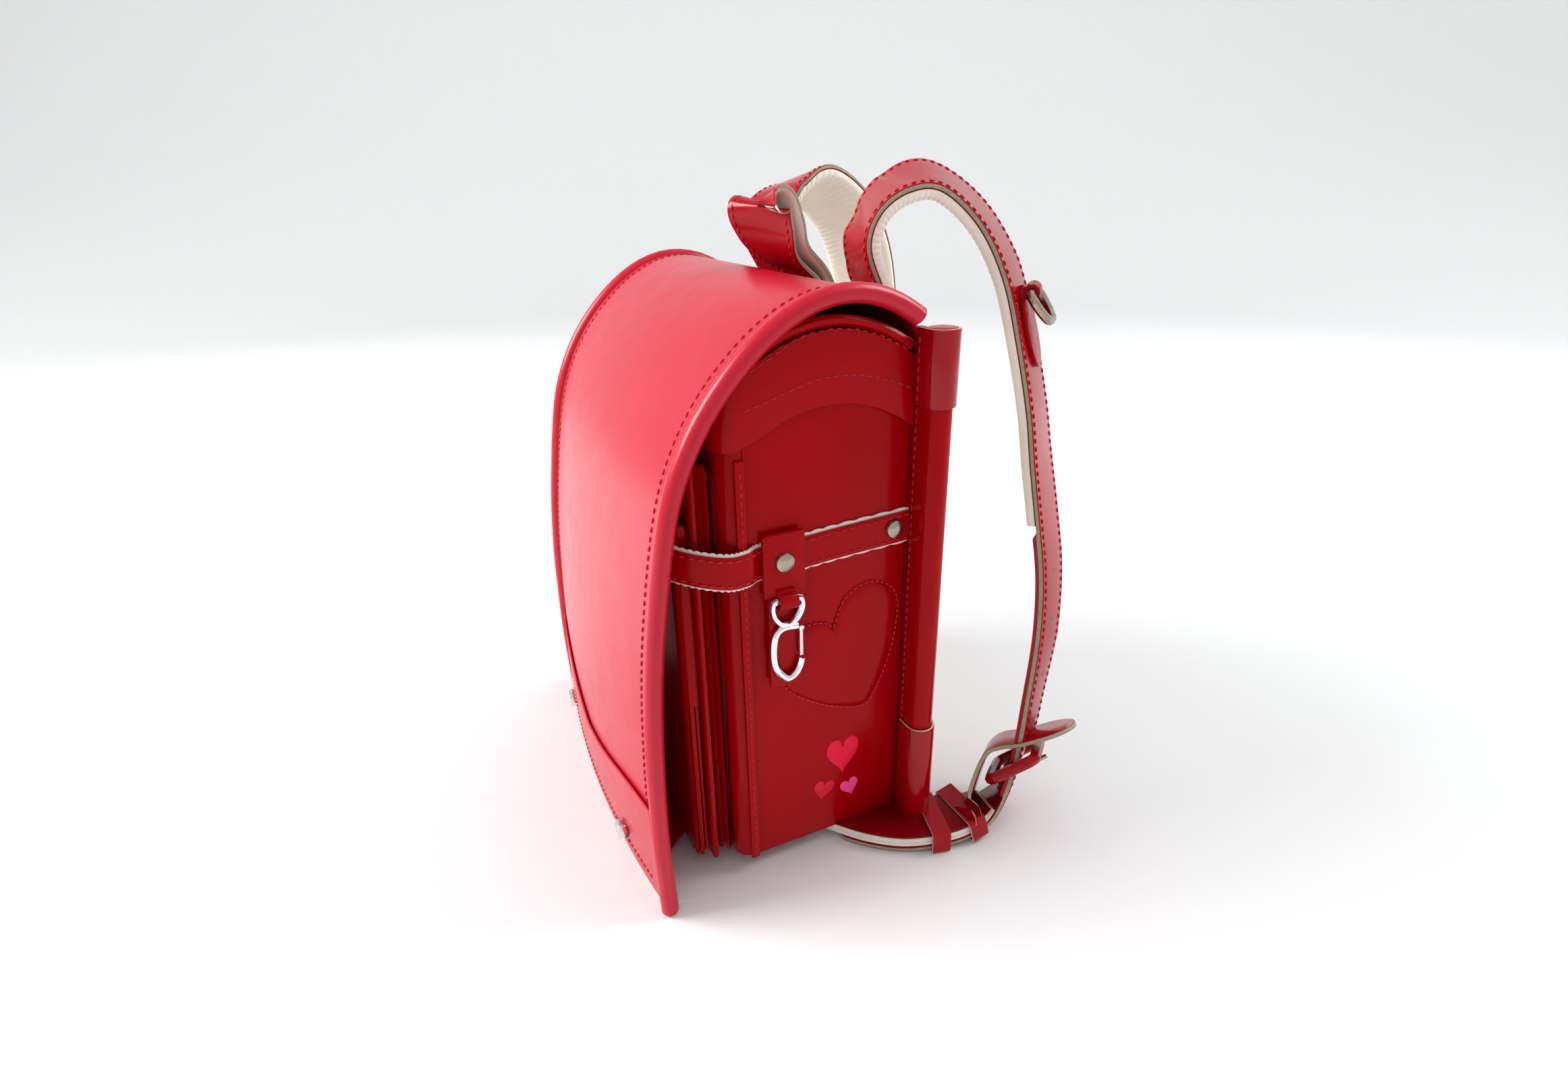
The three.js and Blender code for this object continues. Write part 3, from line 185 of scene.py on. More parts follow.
class Finish:
    """A material under construction."""

    def __init__(self, name):
        self.material = bpy.data.materials.new(name)
        self.material.use_nodes = True
        self.tree = self.material.node_tree
        self.shader = self.tree.nodes["Principled BSDF"]
        self.place = self.node("ShaderNodeTexCoord", output="Object")

    def node(self, kind, settings=None, output=0, **inputs):
        node = self.tree.nodes.new(kind)
        for name, value in (settings or {}).items():
            setattr(node, name, value)
        for name, value in inputs.items():
            connect(self.tree, value, node.inputs[name.replace("_", " ")])
        return Wired(self.tree, node.outputs[output])

    def stretched(self, scale):
        node = self.tree.nodes.new("ShaderNodeMapping")
        connect(self.tree, self.place, node.inputs["Vector"])
        node.inputs["Scale"].default_value = scale
        return Wired(self.tree, node.outputs[0])

    def noise(self, scale, detail=2.0, roughness=0.5, where=None):
        return self.node("ShaderNodeTexNoise", Vector=where or self.place, Scale=scale, Detail=detail,
            Roughness=roughness)

    def blend(self, amount, first, second):
        node = self.tree.nodes.new("ShaderNodeMix")
        node.data_type = "RGBA"
        for value, slot in ((amount, node.inputs[0]), (first, node.inputs[6]), (second, node.inputs[7])):
            connect(self.tree, value, slot)
        return Wired(self.tree, node.outputs[2])

    def bump(self, height, strength, distance, normal=None):
        node = self.tree.nodes.new("ShaderNodeBump")
        node.inputs["Strength"].default_value = strength
        node.inputs["Distance"].default_value = distance
        connect(self.tree, height, node.inputs["Height"])
        if normal is not None:
            connect(self.tree, normal, node.inputs["Normal"])
        return Wired(self.tree, node.outputs[0])

    def done(self, **sockets):
        for name, value in sockets.items():
            connect(self.tree, value, self.shader.inputs[name.replace("_", " ")])
        return self.material


def colour(red, green, blue):
    """A colour as it looks on a screen, 0 to 255, turned into light."""
    def light(value):
        value = value / 255
        return value / 12.92 if value < 0.04045 else ((value + 0.055) / 1.055) ** 2.4
    return (light(red), light(green), light(blue), 1.0)


# %% [markdown]
# ## Coated leather
#
# The leather is a sheet of microfibre under a clear glossy coat. Seen close it has a fine
# grain, and over a palm's width it is a little wavy, which bends the reflections. Both are
# bumps of noise; the coat gives the sharp second highlight.

# %% Leather finishes
def coated_leather(name, tone, deep, gloss=0.22, wave=0.1, coat=0.1, coat_rough=0.06, shine=0.12):
    """gloss is the roughness, wave the strength of the ripples and shine the bare surface's mirror."""
    finish = Finish(name)
    cloudy = finish.noise(9.0, 3.0)
    grain = finish.noise(1500.0, 2.0)
    ripple = finish.noise(13.0, 1.0)
    grained = finish.bump(grain, 0.08, 0.0001)
    waved = finish.bump(ripple, wave, 0.0016, grained)
    return finish.done(
        Base_Color=finish.blend(cloudy, deep, tone),
        Roughness=finish.noise(60.0, 2.0) * 0.14 + (gloss - 0.07),
        Normal=waved, Coat_Weight=coat, Coat_Roughness=coat_rough, Specular_IOR_Level=shine,
    )


leather = coated_leather("coated_leather", colour(178, 0, 16), colour(160, 0, 8))
# The flap's coat and roughness give its real gloss; its pinker base colour than the body is painted sheen.
flap_leather_with_painted_sheen = coated_leather("flap_leather_with_painted_sheen", colour(200, 4, 50), colour(182, 0, 36),
    gloss=0.38, wave=0.14, coat=0.45, coat_rough=0.24, shine=0.35)
# A darker copy of the same leather for the back panel, back bracket and lower belt tops: painted shade.
leather_with_painted_shade = coated_leather("shaded_leather", colour(146, 0, 18), colour(118, 0, 10))
wrap_leather = coated_leather("wrap_leather", colour(176, 0, 22), colour(150, 0, 14),
    gloss=0.14, wave=0.3, coat=0.35, coat_rough=0.05, shine=0.3)
strap_leather = coated_leather("strap_leather", colour(180, 0, 30), colour(152, 0, 18),
    gloss=0.2, wave=0.12, coat=0.2, coat_rough=0.05, shine=0.25)


def make_felt(name, tone, deep):
    """The cut edge of the leather board, fibrous and matt."""
    finish = Finish(name)
    fibre = finish.noise(900.0, 4.0, 0.7)
    return finish.done(Base_Color=finish.blend(finish.noise(420.0, 3.0, 0.65), deep, tone), Roughness=0.9,
        Normal=finish.bump(fibre, 0.6, 0.0004))


felt = make_felt("felt_edge", colour(186, 184, 160), colour(134, 134, 112))
pale_edge = make_felt("pale_edge", colour(226, 216, 196), colour(186, 168, 146))


def make_lining(name, tone, deep):
    finish = Finish(name)
    crease = finish.noise(210.0, 3.0, 0.6, finish.stretched((1.0, 1.0, 0.35)))
    pore = finish.noise(1600.0, 2.0)
    return finish.done(Base_Color=finish.blend(finish.noise(60.0, 3.0), deep, tone), Roughness=0.62,
        Normal=finish.bump(crease, 0.35, 0.0006, finish.bump(pore, 0.2, 0.0002)))


lining = make_lining("soft_lining", colour(246, 243, 234), colour(232, 226, 212))
white_layer = make_lining("white_layer", colour(240, 236, 228), colour(216, 208, 196))

# %% Threads, embroidery and metal
def make_thread(name, tone, deep):
    finish = Finish(name)
    return finish.done(Base_Color=finish.blend(finish.noise(700.0, 2.0), deep, tone), Roughness=0.45,
        Normal=finish.bump(finish.noise(2600.0, 1.0), 0.4, 0.0002))


thread = make_thread("red_thread", colour(206, 6, 44), colour(164, 0, 24))
bright_thread = make_thread("bright_thread", colour(228, 20, 62), colour(196, 4, 40))
pale_thread = make_thread("pale_thread", colour(228, 222, 208), colour(198, 190, 172))


def make_embroidery(name, tone, deep):
    """Satin stitches: fine parallel ridges of thread, painted lighter on the crests as sheen and darker in
    the grooves as shade.
    """
    finish = Finish(name)
    ridges = finish.node("ShaderNodeTexWave", {"bands_direction": "DIAGONAL"}, output=1,
        Vector=finish.place, Scale=520.0, Distortion=1.6, Detail=2.0)
    return finish.done(Base_Color=finish.blend(ridges, deep, tone), Roughness=0.5,
        Normal=finish.bump(ridges, 0.7, 0.0004))


HEART_THREADS = {
    "large": make_embroidery("hot_pink_thread", colour(255, 26, 84), colour(236, 6, 56)),
    "light": make_embroidery("light_pink_thread", colour(255, 96, 164), colour(244, 60, 132)),
    "deep": make_embroidery("deep_pink_thread", colour(240, 20, 74), colour(214, 4, 50)),
}


def make_metal(name, tone, rough, tarnish=None):
    finish = Finish(name)
    stain = finish.noise(240.0, 5.0, 0.7)
    return finish.done(Base_Color=finish.blend(stain * stain, tarnish or tone, tone), Metallic=1.0,
        Roughness=stain * 0.16 + rough, Normal=finish.bump(finish.noise(500.0, 2.0), 0.08, 0.0002))


chrome = make_metal("chrome", colour(232, 232, 236), 0.02)
old_nickel = make_metal("old_nickel", colour(214, 208, 198), 0.16, colour(160, 148, 130))

# %% [markdown]
# ## Finished copies of the solids
#
# A solid from the CAD is right in shape but has sharp edges and flat facets. Its copy is
# merged into quads. Then either a small bevel rounds its edges, or a subdivision surface
# with creased edges makes its long curves smooth.

# %% Finished copies
def only(piece):
    bpy.ops.object.select_all(action="DESELECT")
    piece.select_set(True)
    bpy.context.view_layer.objects.active = piece


def apply_modifier(piece, kind, **settings):
    modifier = piece.modifiers.new(kind, kind)
    for name, value in settings.items():
        setattr(modifier, name, value)
    only(piece)
    bpy.ops.object.modifier_apply(modifier=modifier.name)


def body_of(node):
    for body, nodes in frame["record"]["behaviour"]["bodies"].items():
        if node in nodes:
            return body
    return None


def dressed(node, material, rounding=0.4, levels=0, angle=36.0, crease=0.8):
    """A finished copy of a CAD node, which then isn't shown itself."""
    piece = bpy.data.objects.new(node + "_finish", frame["nodes"][node].data.copy())
    bpy.context.collection.objects.link(piece)
    only(piece)
    bpy.ops.object.mode_set(mode="EDIT")
    bpy.ops.mesh.select_all(action="SELECT")
    bpy.ops.mesh.remove_doubles(threshold=0.00002)
    bpy.ops.mesh.tris_convert_to_quads(face_threshold=math.radians(25), shape_threshold=math.radians(60))
    bpy.ops.object.mode_set(mode="OBJECT")
    bpy.ops.mesh.customdata_custom_splitnormals_clear()
    if levels:
        mesh = bmesh.new()
        mesh.from_mesh(piece.data)
        sharp = mesh.edges.layers.float.get("crease_edge") or mesh.edges.layers.float.new("crease_edge")
        for edge in mesh.edges:
            if len(edge.link_faces) == 2 and edge.calc_face_angle(0) > math.radians(angle):
                edge[sharp] = crease
        mesh.to_mesh(piece.data)
        mesh.free()
        apply_modifier(piece, "SUBSURF", levels=levels, render_levels=levels)
    elif rounding:
        apply_modifier(piece, "BEVEL", width=rounding * MM, segments=2, limit_method="ANGLE",
            angle_limit=math.radians(angle), use_clamp_overlap=True)
    only(piece)
    bpy.ops.object.shade_smooth_by_angle(angle=math.radians(angle))
    piece.data.materials.clear()
    piece.data.materials.append(material)
    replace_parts(piece, node)
    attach(piece, body_of(node))
    return piece


def paint_faces(piece, material, chosen):
    """Gives a second material to the faces that chosen(centre, normal) picks, in mm."""
    piece.data.materials.append(material)
    index = len(piece.data.materials) - 1
    for face in piece.data.polygons:
        if chosen(face.center / MM, face.normal):
            face.material_index = index


def with_sides(singles, pairs):
    """A table of node names, where each name in pairs stands for its right and left node."""
    return {**singles, **{f"{name}_{side}": finish for name, finish in pairs.items() for side in SIDES}}


# Each node's material, with its bevel in mm or its subdivision levels; 0 levels is a plain bevel.
# The back panel and back bracket take the darker copy of the leather, which is painted shade.
BEVELLED = with_sides(
    {
        "gusset": (leather, 0.5), "front_wall": (leather, 0.5), "back_panel": (leather_with_painted_shade, 0.5),
        "turn_lock": (old_nickel, 0.5), "back_bracket": (leather_with_painted_shade, 1.5), "hook_tab": (leather, 0.6),
        "flap_tongue": (leather, 0.5),
    },
    {
        "front_seam": (leather, 0.8), "stud": (chrome, 0.8), "top_sleeve": (wrap_leather, 0.3),
        "bottom_sleeve": (wrap_leather, 0.3), "buckle_frame": (strap_leather, 0.0),
        "strap_patch": (leather, 0.5), "edge_roll": (leather, 0.3), "buckle_prong": (old_nickel, 0.4),
    },
)
SUBDIVIDED = with_sides(
    {
        "flap": (flap_leather_with_painted_sheen, 1), "flap_trim": (pale_edge, 1), "flap_overlay": (flap_leather_with_painted_sheen, 1),
        "mouth_band": (leather, 0), "small_compartment": (leather, 1), "front_pocket": (leather, 1),
        "side_hook": (chrome, 1), "side_hook_gate": (chrome, 0), "strap_hook": (chrome, 1),
        "strap_hook_gate": (chrome, 0), "strap_ring": (old_nickel, 1),
    },
    {
        "flap_piping": (flap_leather_with_painted_sheen, 1), "mouth_rim": (leather, 1), "back_rivet": (old_nickel, 1),
        "front_rivet": (old_nickel, 1),
    },
)
made = {}
for node, (material, rounding) in BEVELLED.items():
    made[node] = dressed(node, material, rounding)
for node, (material, levels) in SUBDIVIDED.items():
    made[node] = dressed(node, material, 0.4, levels)
for side in SIDES:
    paint_faces(made[f"top_sleeve_{side}"], pale_edge, lambda at, normal: abs(normal.z) > 0.9)
    paint_faces(made[f"bottom_sleeve_{side}"], pale_edge, lambda at, normal: normal.z > 0.9)
for node, swell in (("side_hook", 0.3), ("strap_hook", 0.3), ("strap_ring", 0.45)):
    apply_modifier(made[node], "DISPLACE", strength=swell * MM, mid_level=0.0)
print("finished copies", len(made))

# %% [markdown]
# ## A profile swept along a route
#
# Straps and belts are flat layers that curve and twist. Each is a cross-section carried
# along a smooth line, with its own material for each strip of the section, so that the red
# face, the felt edge and the lining meet in crisp lines.

# %% Smooth lines and sweeps
def smooth_point(points, share):
    """A point of the Catmull-Rom line through the points, share from 0 to 1."""
    last = len(points) - 1
    at = min(max(share, 0.0), 1.0) * last
    low = min(int(at), last - 1)
    weight = at - low
    p1, p2 = points[low], points[low + 1]
    p0 = points[low - 1] if low else 2 * p1 - p2
    p3 = points[low + 2] if low + 2 <= last else 2 * p2 - p1
    t1, t2 = (p2 - p0) / 2, (p3 - p1) / 2
    w2, w3 = weight ** 2, weight ** 3
    ahead = 3 * w2 - 2 * w3
    return (1 - ahead) * p1 + (w3 - 2 * w2 + weight) * t1 + ahead * p2 + (w3 - w2) * t2


def squared(direction, run):
    """The direction made square to a run, one long."""
    return (direction - run * direction.dot(run)).normalized()


def run_at(points, share, reach=0.001):
    """The direction of the line through the points, not made one long."""
    return smooth_point(points, share + reach) - smooth_point(points, share - reach)


def new_piece(name, points, faces, materials, indices=None, body="bag", smooth_angle=40.0):
    """A mesh piece from points in mm."""
    mesh = bpy.data.meshes.new(name)
    mesh.from_pydata([tuple(Vector(p) * MM) for p in points], [], faces)
    for material in materials:
        mesh.materials.append(material)
    if indices:
        for face, index in zip(mesh.polygons, indices):
            face.material_index = index
    piece = bpy.data.objects.new(name, mesh)
    bpy.context.collection.objects.link(piece)
    only(piece)
    bpy.ops.object.mode_set(mode="EDIT")
    bpy.ops.mesh.select_all(action="SELECT")
    bpy.ops.mesh.normals_make_consistent(inside=False)
    bpy.ops.object.mode_set(mode="OBJECT")
    bpy.ops.object.shade_smooth_by_angle(angle=math.radians(smooth_angle))
    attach(piece, body)
    return piece


def swept(name, sections, strips, materials, flip=1, smooth_angle=40.0):
    """Joins closed sections of equal length into a capped skin. strips picks each strip's material."""
    count = len(sections[0])
    points = [(p[0] * flip, p[1], p[2]) for section in sections for p in section]
    faces, indices = [], []
    for i in range(len(sections) - 1):
        for j in range(count):
            k = (j + 1) % count
            faces.append((i * count + j, i * count + k, (i + 1) * count + k, (i + 1) * count + j))
            indices.append(strips[j])
    last = (len(sections) - 1) * count
    faces.append(tuple(range(count)))
    faces.append(tuple(range(last + count - 1, last - 1, -1)))
    indices += [strips[-1], strips[-1]]
    return new_piece(name, points, faces, materials, indices, smooth_angle=smooth_angle)


# %% The strap's route
SIDE_X, STRAP_REACH, STRAP_TOP = 116.0, 122.0, 346.0
STRAP = {"width": 46, "narrow": 31, "leather": 3.0, "pad": 7.0, "backing": 2.4, "lower": 3.2}
# out, back and up are shares of the half width, the reach and the arch's top; turn and lift
# are degrees; wide goes from narrow to full.
ROUTE = (
    (0.64, 0.476, 0.723, 0, 0, 1), (0.65, 0.470, 0.775, 4, 0, 1), (0.665, 0.434, 0.827, 10, 0, 1),
    (0.68, 0.344, 0.879, 14, 0, 1), (0.70, 0.279, 0.931, 18, 4, 1), (0.725, 0.311, 0.974, 22, 8, 1),
    (0.75, 0.418, 1.0, 27, 10, 1), (0.775, 0.557, 1.0, 32, 10, 1), (0.80, 0.730, 0.951, 40, 8, 1),
    (0.83, 0.852, 0.876, 47, 5, 0.95), (0.87, 0.922, 0.783, 50, 2, 0.92), (0.94, 0.961, 0.676, 52, 0, 0.86),
    (0.99, 0.973, 0.592, 54, 0, 0.72), (1.05, 0.992, 0.494, 57, 0, 0.45), (1.11, 1.0, 0.402, 60, 0, 0.18),
    (1.17, 0.967, 0.303, 62, 0, 0), (1.23, 0.893, 0.191, 58, 0, 0), (1.27, 0.844, 0.139, 55, 0, 0),
    (1.30, 0.795, 0.087, 50, 0, 0), (1.32, 0.738, 0.040, 40, 0, 0), (1.335, 0.656, 0.003, 22, 0, 0),
    (1.335, 0.525, -0.0105, 8, 0, 0), (1.31, 0.377, -0.0125, 5, 0, 0), (1.24, 0.221, -0.0168, 22, 0, 0),
    (1.13, 0.082, -0.0168, 38, 0, 0), (0.99, -0.033, -0.0168, 43, 0, 0), (0.85, -0.139, -0.0168, 44, 0, 0),
)
LINING_END, BACKING_END, BELT_START, TAIL_END, BELT_END = 13, 19, 19.5, 25, 26
ROUTE_POINTS = [Vector((row[0] * SIDE_X, row[1] * STRAP_REACH, row[2] * STRAP_TOP)) for row in ROUTE]


def strap_frame(row):
    """The strap's edge, run, width direction, outward face and width at a row of its route."""
    last = len(ROUTE) - 1
    low = min(int(row), last - 1)
    here, ahead = ROUTE[low], ROUTE[low + 1]
    turn, lift, wide_share = (here[k] + (ahead[k] - here[k]) * (row - low) for k in (3, 4, 5))
    turn, lift = math.radians(turn), math.radians(lift)
    run = run_at(ROUTE_POINTS, row / last, 0.0001).normalized()
    wide = squared(Vector((-math.cos(turn), math.sin(turn), math.sin(lift))), run)
    width = STRAP["narrow"] + (STRAP["width"] - STRAP["narrow"]) * wide_share
    return smooth_point(ROUTE_POINTS, row / last), run, wide, run.cross(wide), width


def strap_point(row, across, depth):
    """A point of the strap: across from the edge and depth outward from the edge line, in mm."""
    edge, _, wide, out, _ = strap_frame(row)
    return edge + wide * across + out * depth


def rows(start, end, per_row):
    count = math.ceil((end - start) * per_row)
    return [start + (end - start) * i / count for i in range(count + 1)]


# %% [markdown]
# ## Shoulder straps
#
# The outer layer is leather board: a red face with a soft crown, and a cut edge that shows
# grey-green felt. Below the padded lining the back is red too. The tail runs on under the
# base and ends in a rounded tip.

# %% Strap leather
TIP_ROWS = 0.45


def strap_section(row):
    width = strap_frame(row)[4]
    thick = STRAP["leather"]
    inner = -STRAP["backing"] if LINING_END + 0.15 < row < BACKING_END else 0.0
    crown = 0.5
    tip = max(0.0, (row - TAIL_END + TIP_ROWS) / TIP_ROWS)
    inset = 0.5 * width * (1 - math.sqrt(max(0.0, 1 - tip ** 2))) if tip else 0.0
    inset = min(inset, width * 0.46)
    board = max(0.1, inner + 0.5)
    shape = [(0.0, inner + 0.4), (0.0, board), (0.0, thick - 0.7), (0.5, thick - 0.1), (2.2, thick - 0.05)]
    shape += [(width * s, thick + crown * (1 - (2 * s - 1) ** 2) - 0.1) for s in (0.12, 0.3, 0.5, 0.7, 0.88)]
    shape += [(width - 2.2, thick - 0.05), (width - 0.5, thick - 0.1), (width, thick - 0.7)]
    shape += [(width, board), (width, inner + 0.4)]
    shape += [(width - 0.6, inner), (width * 0.5, inner), (0.6, inner)]
    squeeze = (width - 2 * inset) / width
    return [strap_point(row, inset + across * squeeze, depth) for across, depth in shape]


STRAP_STRIPS = [0, 1, 0, 0, 0, 0, 0, 0, 0, 0, 0, 0, 1, 0, 0, 0, 0, 0]
strap_rows = rows(0, LINING_END, 8) + [LINING_END + 0.1, LINING_END + 0.2]
strap_rows += rows(LINING_END + 0.4, BACKING_END - 0.1, 8)
strap_rows += rows(BACKING_END, TAIL_END - 0.5, 8) + rows(TAIL_END - TIP_ROWS, TAIL_END, 20)
for side, flip in SIDES.items():
    sections = [strap_section(row) for row in strap_rows]
    piece = swept(f"strap_{side}_finish", sections, STRAP_STRIPS, [strap_leather, felt], flip=flip)
    made[f"strap_{side}"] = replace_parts(piece, f"strap_{side}")

# %% [markdown]
# ## Padded lining
#
# The lining is soft and longer than the curve that it follows, so it gathers into fine
# folds inside the arch. The folds are worked out along the strap: many where it bends, and
# few on the straight stretch.

# %% Strap lining
def fold_height(row, along, across):
    """How far the gathered lining stands out, in mm."""
    bend = math.exp(-((row - 5.5) / 3.4) ** 2)
    phase = 1.1 * math.sin(across * 2.9 + along / 17) + 0.6 * math.sin(along / 5.3)
    fold = abs(math.sin(math.pi * along / 3.4 + phase)) ** 0.7
    slow = 0.5 + 0.5 * math.sin(along / 8.7 + 2.2 * across)
    return (fold - 0.6) * (0.12 + 0.85 * bend) * (0.5 + 0.5 * slow)


def lining_section(row, along):
    width = strap_frame(row)[4]
    thick, gap, inset = STRAP["pad"], 0.35, 0.5
    section = []
    for share in (1.0, 0.5, 0.0):
        section.append(strap_point(row, inset + (width - 2 * inset) * share, -gap))
    steps = 14
    for k in range(steps + 1):
        angle = math.pi * k / steps
        across = 0.5 - 0.5 * math.copysign(abs(math.cos(angle)) ** 0.42, math.cos(angle))
        deep = abs(math.sin(angle)) ** 0.55
        fold = fold_height(row, along, across * 3)
        height = thick * (0.62 + 0.2 * deep) * min(1.0, deep + 0.12) + fold * min(1.0, deep + 0.5)
        swell = fold * 0.7 * (1 - deep) * (-1 if across < 0.5 else 1)
        place = inset + (width - 2 * inset) * across + swell
        section.append(strap_point(row, place, -gap - max(height, 0.4)))
    return section


def lining_sections():
    sections, along, last = [], 0.0, None
    for row in rows(0.02, LINING_END - 0.02, 46):
        edge = strap_frame(row)[0]
        along += (edge - last).length if last else 0.0
        last = edge
        sections.append(lining_section(row, along))
    return sections


gathered = lining_sections()
for side, flip in SIDES.items():
    strips = [0] * len(gathered[0])
    piece = swept(f"strap_lining_{side}_finish", gathered, strips, [lining], flip=flip, smooth_angle=70)
    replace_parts(piece, f"strap_lining_{side}")
    made[f"strap_lining_{side}"] = piece

# %% [markdown]
# ## Lower belts
#
# A lower belt is several layers sewn together: red leather on top, painted darker as shade, and two pale
# padded layers whose edges show as stripes.

# %% Lower belts
# How far the sewn layers reach inward from the strap's edge line, in mm.
STACK = 7.2


def belt_section(row):
    width = strap_frame(row)[4]
    full = min(1.0, (row - BELT_START) / 0.9, (BELT_END - row) / 0.7 + 0.35)
    low, thick = -0.5, STRAP["lower"] + (STACK - STRAP["lower"]) * max(full, 0.1)
    layer = (thick - 1.4) / 2
    shape = [(1.2, low)]
    for k in range(2):
        top = low - k * layer
        for share, swell in ((0.08, 0.7), (0.25, 0.0), (0.5, -0.35), (0.75, 0.0), (0.92, 0.7)):
            shape.append((swell, top - share * layer))
    shape += [(0.7, low - thick + 1.3), (0.3, low - thick + 0.9), (0.3, low - thick + 0.4)]
    shape += [(1.0, low - thick), (width / 2, low - thick - 0.3)]
    mirror = [(width - across, depth) for across, depth in reversed(shape[:-1])]
    return [strap_point(row, across, depth) for across, depth in shape + mirror]


BELT_STRIPS = [1] * 10 + [2, 2, 0, 0, 0, 0, 0, 0, 2, 2] + [1] * 11
for side, flip in SIDES.items():
    sections = [belt_section(row) for row in rows(BELT_START, BELT_END, 8)]
    # The top layer is the darker copy of the leather: painted shade.
    layers = [leather_with_painted_shade, white_layer, felt]
    piece = swept(f"lower_belt_{side}_finish", sections, BELT_STRIPS, layers, flip=flip)
    made[f"lower_belt_{side}"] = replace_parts(piece, f"lower_belt_{side}")


def keeper_points(row, half=5.5, wall=1.8, bend=1.6, steps=9):
    """A flat loop round the belt stack: four corner points for each step round it."""
    _, run, _, _, width = strap_frame(row)
    left, right, top, bottom = -0.7, width + 0.7, STRAP["leather"] + 1.0, -STACK - 1.5
    corners = ((right, top, 0), (left, top, 90), (left, bottom, 180), (right, bottom, 270))
    points = []
    for x, depth, first in corners:
        inward = Vector((1 if x == left else -1, -1 if depth == top else 1)) * bend
        for k in range(steps):
            angle = math.radians(first + 90 * k / (steps - 1))
            for radius, side in ((bend, -1), (bend, 1), (bend + wall, 1), (bend + wall, -1)):
                across = x + inward.x + radius * math.cos(angle)
                height = depth + inward.y + radius * math.sin(angle)
                points.append(strap_point(row, across, height) + run * half * side)
    return points


KEEPER_ROWS = {"low": 21.9, "high": 20.5}
for side, flip in SIDES.items():
    for level, row in KEEPER_ROWS.items():
        points = [(at.x * flip, at.y, at.z) for at in keeper_points(row)]
        faces, indices = [], []
        for i in range(0, len(points), 4):
            ahead = (i + 4) % len(points)
            for k, strip in enumerate((0, 1, 0, 1)):
                turned = (k + 1) % 4
                faces.append((i + k, i + turned, ahead + turned, ahead + k))
                indices.append(strip)
        layers = [strap_leather, pale_edge]
        keeper = new_piece(f"keeper_{level}_{side}_finish", points, faces, layers, indices)
        apply_modifier(keeper, "BEVEL", width=0.3 * MM, segments=2, limit_method="ANGLE",
            angle_limit=math.radians(40))
        made[f"keeper_{level}_{side}"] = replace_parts(keeper, f"keeper_{level}_{side}")
print("straps swept")

# %% [markdown]
# ## Buckle covers
#
# A cover is a leather tongue that leaves the belt under the upper keeper, bends out past
# the strap and ends in a round tip. Its felt core shows along both edges.

# %% Buckle covers
BUCKLE_ROW = 17.9
COVER_HALF, TIP_START = 18.0, 0.84


def cover_line():
    """From under the upper keeper along the belt, then out past the strap to the rounded tip."""
    mesh = frame["nodes"]["buckle_cover_right"].data
    spots = [vertex.co / MM for vertex in mesh.vertices]
    middle = sum(spots, Vector()) / len(spots)
    _, _, wide, _, width = strap_frame(BUCKLE_ROW)
    far = max(spots, key=lambda spot: (spot - middle).length)
    slope = squared(far - middle, wide)
    if slope.z < 0:
        slope = -slope
    ends = [max(spots, key=lambda spot: (spot - middle).dot(slope * way)) for way in (-1, 1)]
    low, high = ((end - middle).dot(slope) for end in ends)
    line = [strap_point(20.9, width / 2, -STACK - 0.6), strap_point(20.0, width / 2, -STACK - 1.0)]
    line += [middle + slope * (low + 4), middle + slope * (low + high) / 2, middle + slope * (high + 1)]
    return line, wide


COVER_LINE, COVER_WIDE = cover_line()


def cover_frame(share):
    run = run_at(COVER_LINE, share, 0.002).normalized()
    wide = squared(COVER_WIDE, run)
    return smooth_point(COVER_LINE, share), wide, run.cross(wide)


def cover_section(share):
    middle, wide, out = cover_frame(share)
    tip = max(0.0, (share - TIP_START) / (1 - TIP_START))
    half = max(COVER_HALF * math.sqrt(max(0.0, 1 - tip ** 2)), 1.2)
    shape = ((-half, -1.0), (-half, 1.0), (-half + 0.5, 1.3), (0, 1.5), (half - 0.5, 1.3), (half, 1.0),
        (half, -1.0), (half - 0.4, -1.3), (0, -1.3), (-half + 0.4, -1.3))
    return [middle + wide * across + out * depth for across, depth in shape]


COVER_STRIPS = [1, 0, 0, 0, 0, 1, 0, 0, 0, 0]
cover_shares = [i / 50 for i in range(42)]
cover_shares += [TIP_START + (1 - TIP_START) * math.sin(math.pi / 2 * i / 14) for i in range(1, 15)]
cover_sections = [cover_section(share) for share in cover_shares]
for side, flip in SIDES.items():
    layers = [strap_leather, felt]
    cover = swept(f"buckle_cover_{side}_finish", cover_sections, COVER_STRIPS, layers, flip=flip)
    made[f"buckle_cover_{side}"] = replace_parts(cover, f"buckle_cover_{side}")

# %% [markdown]
# ## Handle
#
# The handle is a limp band that folds over tightly and has twisted a little. Its outer face
# is red, its inner face is pale lining, and the felt core shows along both edges.

# %% Handle
# lean is a share of the lean in front of the bracket, up of the rise, turn is in degrees.
HANDLE_LINE = (
    (0.0, 0.0, 0), (0.04, 0.16, 0), (0.17, 0.31, 2), (0.42, 0.42, 6), (0.66, 0.52, 12), (0.82, 0.66, 18),
    (0.94, 0.82, 26), (1.0, 0.94, 33), (0.98, 1.0, 34), (0.9, 0.98, 34), (0.83, 0.88, 32), (0.74, 0.76, 28),
    (0.62, 0.65, 20), (0.46, 0.56, 13), (0.24, 0.48, 7), (0.02, 0.36, 2), (-0.12, 0.16, 0), (-0.13, 0.0, 0),
)
HANDLE = {"width": 42, "foot": 28, "thick": 3.4, "rise": 61, "lean": 37, "tip": 0.4, "y": 46.8, "z": 280.6}
HANDLE_POINTS = [Vector((0, HANDLE["y"] - lean * HANDLE["lean"], HANDLE["z"] + rise * HANDLE["rise"]))
    for lean, rise, _ in HANDLE_LINE]


